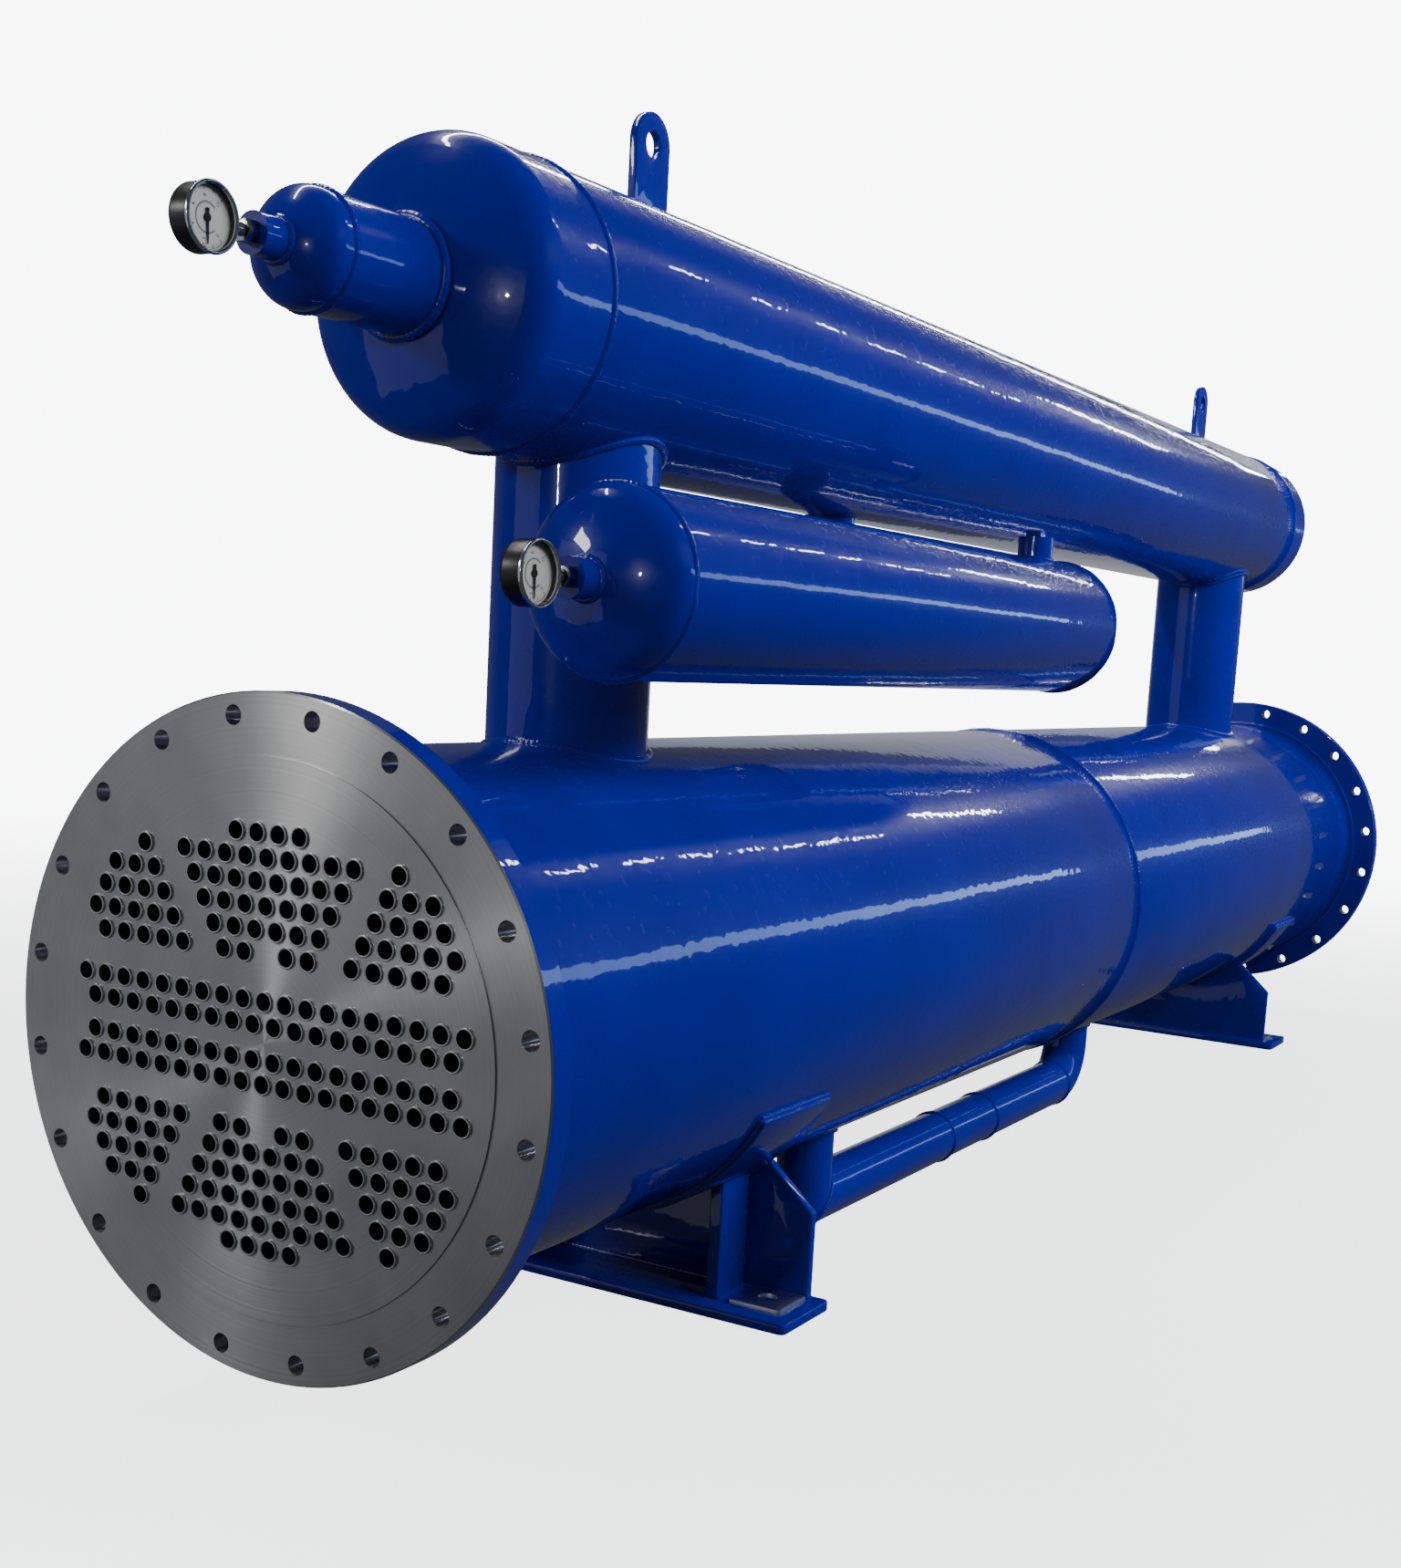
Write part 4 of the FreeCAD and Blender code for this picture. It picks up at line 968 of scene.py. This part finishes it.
# The hand is broader than a real one, so that it shows.
HAND_WIDTH = 2.6 * MM
HAND_THICK = 0.6 * MM
TIP_SHARE = 0.3
TAIL_LENGTH = 0.35
TAIL_SHARE = 1.3
HUB_R = 3.4 * MM
HUB_EASE = 0.4 * MM
CASE_SHEET = 1.6 * MM
CASE_BACK = 3.0 * MM
CASE_EASE = 0.9 * MM
BEZEL_WIDTH = 3.5 * MM
BEZEL_EASE = 0.6 * MM
STEM_EASE = 0.5 * MM
BOSS_WELD_BEAD = 3.0 * MM
BOSS_WELD_BACK = 1.5 * MM
BOSS_WELD_TOE = 0.3 * MM
GAUGE_STEPS = 96
HUB_STEPS = 48


def flat_bar(points, faces, first, last, width, y, tip_share=1.0, thick=INK_THICK):
    """Add one bar, flat on the dial, between two places on it. It may narrow to its tip."""
    along = (last - first).normalized()
    side = Vector((-along.z, 0.0, along.x)) * width / 2.0
    tip = side * tip_share
    base = len(points)
    for lift in (0.0, -thick):
        for corner in (first - side, first + side, last + tip, last - tip):
            points.append((corner.x, y + lift, corner.z))
    quads = ((0, 1, 2, 3), (7, 6, 5, 4), (0, 4, 5, 1), (1, 5, 6, 2), (2, 6, 7, 3),
             (3, 7, 4, 0))
    faces.extend(tuple(base + i for i in quad) for quad in quads)


def printed(name, points, faces, ink):
    """Show a set of flat bars as one piece of ink."""
    mesh = bpy.data.meshes.new(name)
    mesh.from_pydata(points, [], faces)
    mesh.validate()
    return show(name, mesh, ink, "black_pointer")


def dial_print(name, centre, face_y, radius):
    """The scale, which turns with its stem: the dial's foot points along +X."""
    def spot(degrees, share):
        a = math.radians(degrees)
        return centre + Vector((math.cos(a), 0.0, -math.sin(a))) * (radius * share)

    def ring(points, faces, share, width):
        for i in range(RING_STEPS):
            a = SCALE_START + SCALE_SWEEP * i / RING_STEPS
            b = SCALE_START + SCALE_SWEEP * (i + 1) / RING_STEPS
            flat_bar(points, faces, spot(a, share), spot(b, share), width, face_y)

    points = []
    faces = []
    marks = MAJOR_STEPS * MINOR_PER_MAJOR
    for i in range(marks + 1):
        angle = SCALE_START + SCALE_SWEEP * i / marks
        major = i % MINOR_PER_MAJOR == 0
        flat_bar(points, faces, spot(angle, MAJOR_FROM if major else MINOR_FROM),
                 spot(angle, RING_AT), MAJOR_LINE if major else MINOR_LINE, face_y)
    ring(points, faces, RING_AT, MINOR_LINE)
    printed(name + "_scale", points, faces, dial_ink)

    points = []
    faces = []
    ring(points, faces, INNER_RING_AT, INNER_BAND)
    for i in range(INNER_STEPS + 1):
        angle = SCALE_START + SCALE_SWEEP * i / INNER_STEPS
        flat_bar(points, faces, spot(angle, INNER_FROM), spot(angle, INNER_RING_AT),
                 INNER_LINE, face_y)
    printed(name + "_inner_scale", points, faces, grey_ink)

    for i in range(0, MAJOR_STEPS + 1, 2):
        angle = SCALE_START + SCALE_SWEEP * i / MAJOR_STEPS
        words = bpy.data.curves.new(name + "_figure", "FONT")
        words.body = str(i)
        words.size = FIGURE_SIZE
        words.extrude = INK_THICK / 2.0
        words.align_x = "CENTER"
        words.align_y = "CENTER"
        draft = bpy.data.objects.new("draft_figure", words)
        bpy.context.scene.collection.objects.link(draft)
        ready = draft.evaluated_get(bpy.context.evaluated_depsgraph_get())
        mesh = bpy.data.meshes.new_from_object(ready)
        bpy.data.objects.remove(draft)
        turn = Matrix(((0, -1, 0), (0, 0, -1), (1, 0, 0))).to_4x4()
        at = spot(angle, FIGURE_AT)
        mesh.transform(Matrix.Translation((at.x, face_y - INK_THICK / 2.0, at.z)) @ turn)
        show("%s_figure_%d" % (name, i), mesh, dial_ink, "black_pointer")


for name in ("upper_gauge", "lower_gauge"):
    low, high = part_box(name + "_case")
    centre = (low + high) / 2.0
    case_r = (high.z - low.z) / 2.0
    depth = high.y - low.y
    facing = (0.0, -1.0, 0.0)
    back = Vector((centre.x, high.y, centre.z))
    case = turned(name + "_case_pressed", back, facing,
                  [(0, 0), (0, case_r - 4 * MM), (0.8 * MM, case_r - 1.2 * MM),
                   (3.5 * MM, case_r), (depth, case_r), (depth, case_r - CASE_SHEET),
                   (CASE_BACK, case_r - CASE_SHEET), (CASE_BACK, 0)],
                  stoved_black, "black_case", ease=CASE_EASE, steps=GAUGE_STEPS)
    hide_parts(name + "_case")
    bezel_low, bezel_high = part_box(name + "_bezel")
    bezel_r = (bezel_high.z - bezel_low.z) / 2.0
    bezel_depth = bezel_high.y - bezel_low.y
    rim = Vector((centre.x, bezel_high.y, centre.z))
    inner = bezel_r - BEZEL_WIDTH
    bezel = turned(name + "_bezel_rolled", rim, facing,
                   [(bezel_depth * 0.5, inner), (0, inner), (0, bezel_r),
                    (bezel_depth * 0.7, bezel_r), (bezel_depth, bezel_r - 1.0 * MM),
                    (bezel_depth, bezel_r - 2.4 * MM), (bezel_depth * 0.52, inner)],
                   stainless, "bright_steel", ease=BEZEL_EASE, steps=GAUGE_STEPS, around=True)
    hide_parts(name + "_bezel")
    softened(name + "_stem", STEM_EASE, nickel, "bright_steel")
    hand_low, hand_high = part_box(name + "_pointer")
    hand_tip = max((p.co for p in frame["nodes"][name + "_pointer"].data.vertices),
                   key=lambda p: math.hypot(p.x - centre.x, p.z - centre.z))
    tip = Vector((hand_tip.x, 0.0, hand_tip.z))
    middle = Vector((centre.x, 0.0, centre.z))
    points = []
    faces = []
    blade_y = (hand_low.y + hand_high.y) / 2.0
    flat_bar(points, faces, middle, tip, HAND_WIDTH, blade_y, TIP_SHARE, HAND_THICK)
    tail = middle + (middle - tip) * TAIL_LENGTH
    flat_bar(points, faces, middle, tail, HAND_WIDTH, blade_y, TAIL_SHARE, HAND_THICK)
    blade = printed(name + "_hand", points, faces, dial_ink)
    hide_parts(name + "_pointer")
    hub_length = hand_high.y - hand_low.y
    turned(name + "_hub", (centre.x, hand_high.y, centre.z), facing,
           [(0, 0), (0, HUB_R), (hub_length, HUB_R), (hub_length, 0)], dial_ink,
           "black_pointer", ease=HUB_EASE, steps=HUB_STEPS)
    paint(name + "_window", finish=glass)
    paint(name + "_dial", finish=tinplate_white)
    paint(name + "_boss")
    dial_low, dial_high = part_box(name + "_dial")
    dial_print(name, centre, dial_low.y, (dial_high.z - dial_low.z) / 2.0)
    boss_low, boss_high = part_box(name + "_boss")
    boss_r = (boss_high.z - boss_low.z) / 2.0
    ring_bead(name + "_boss_weld", (boss_high.x - BOSS_WELD_BACK, centre.y, centre.z), ALONG,
              boss_r + BOSS_WELD_TOE, BOSS_WELD_BEAD)
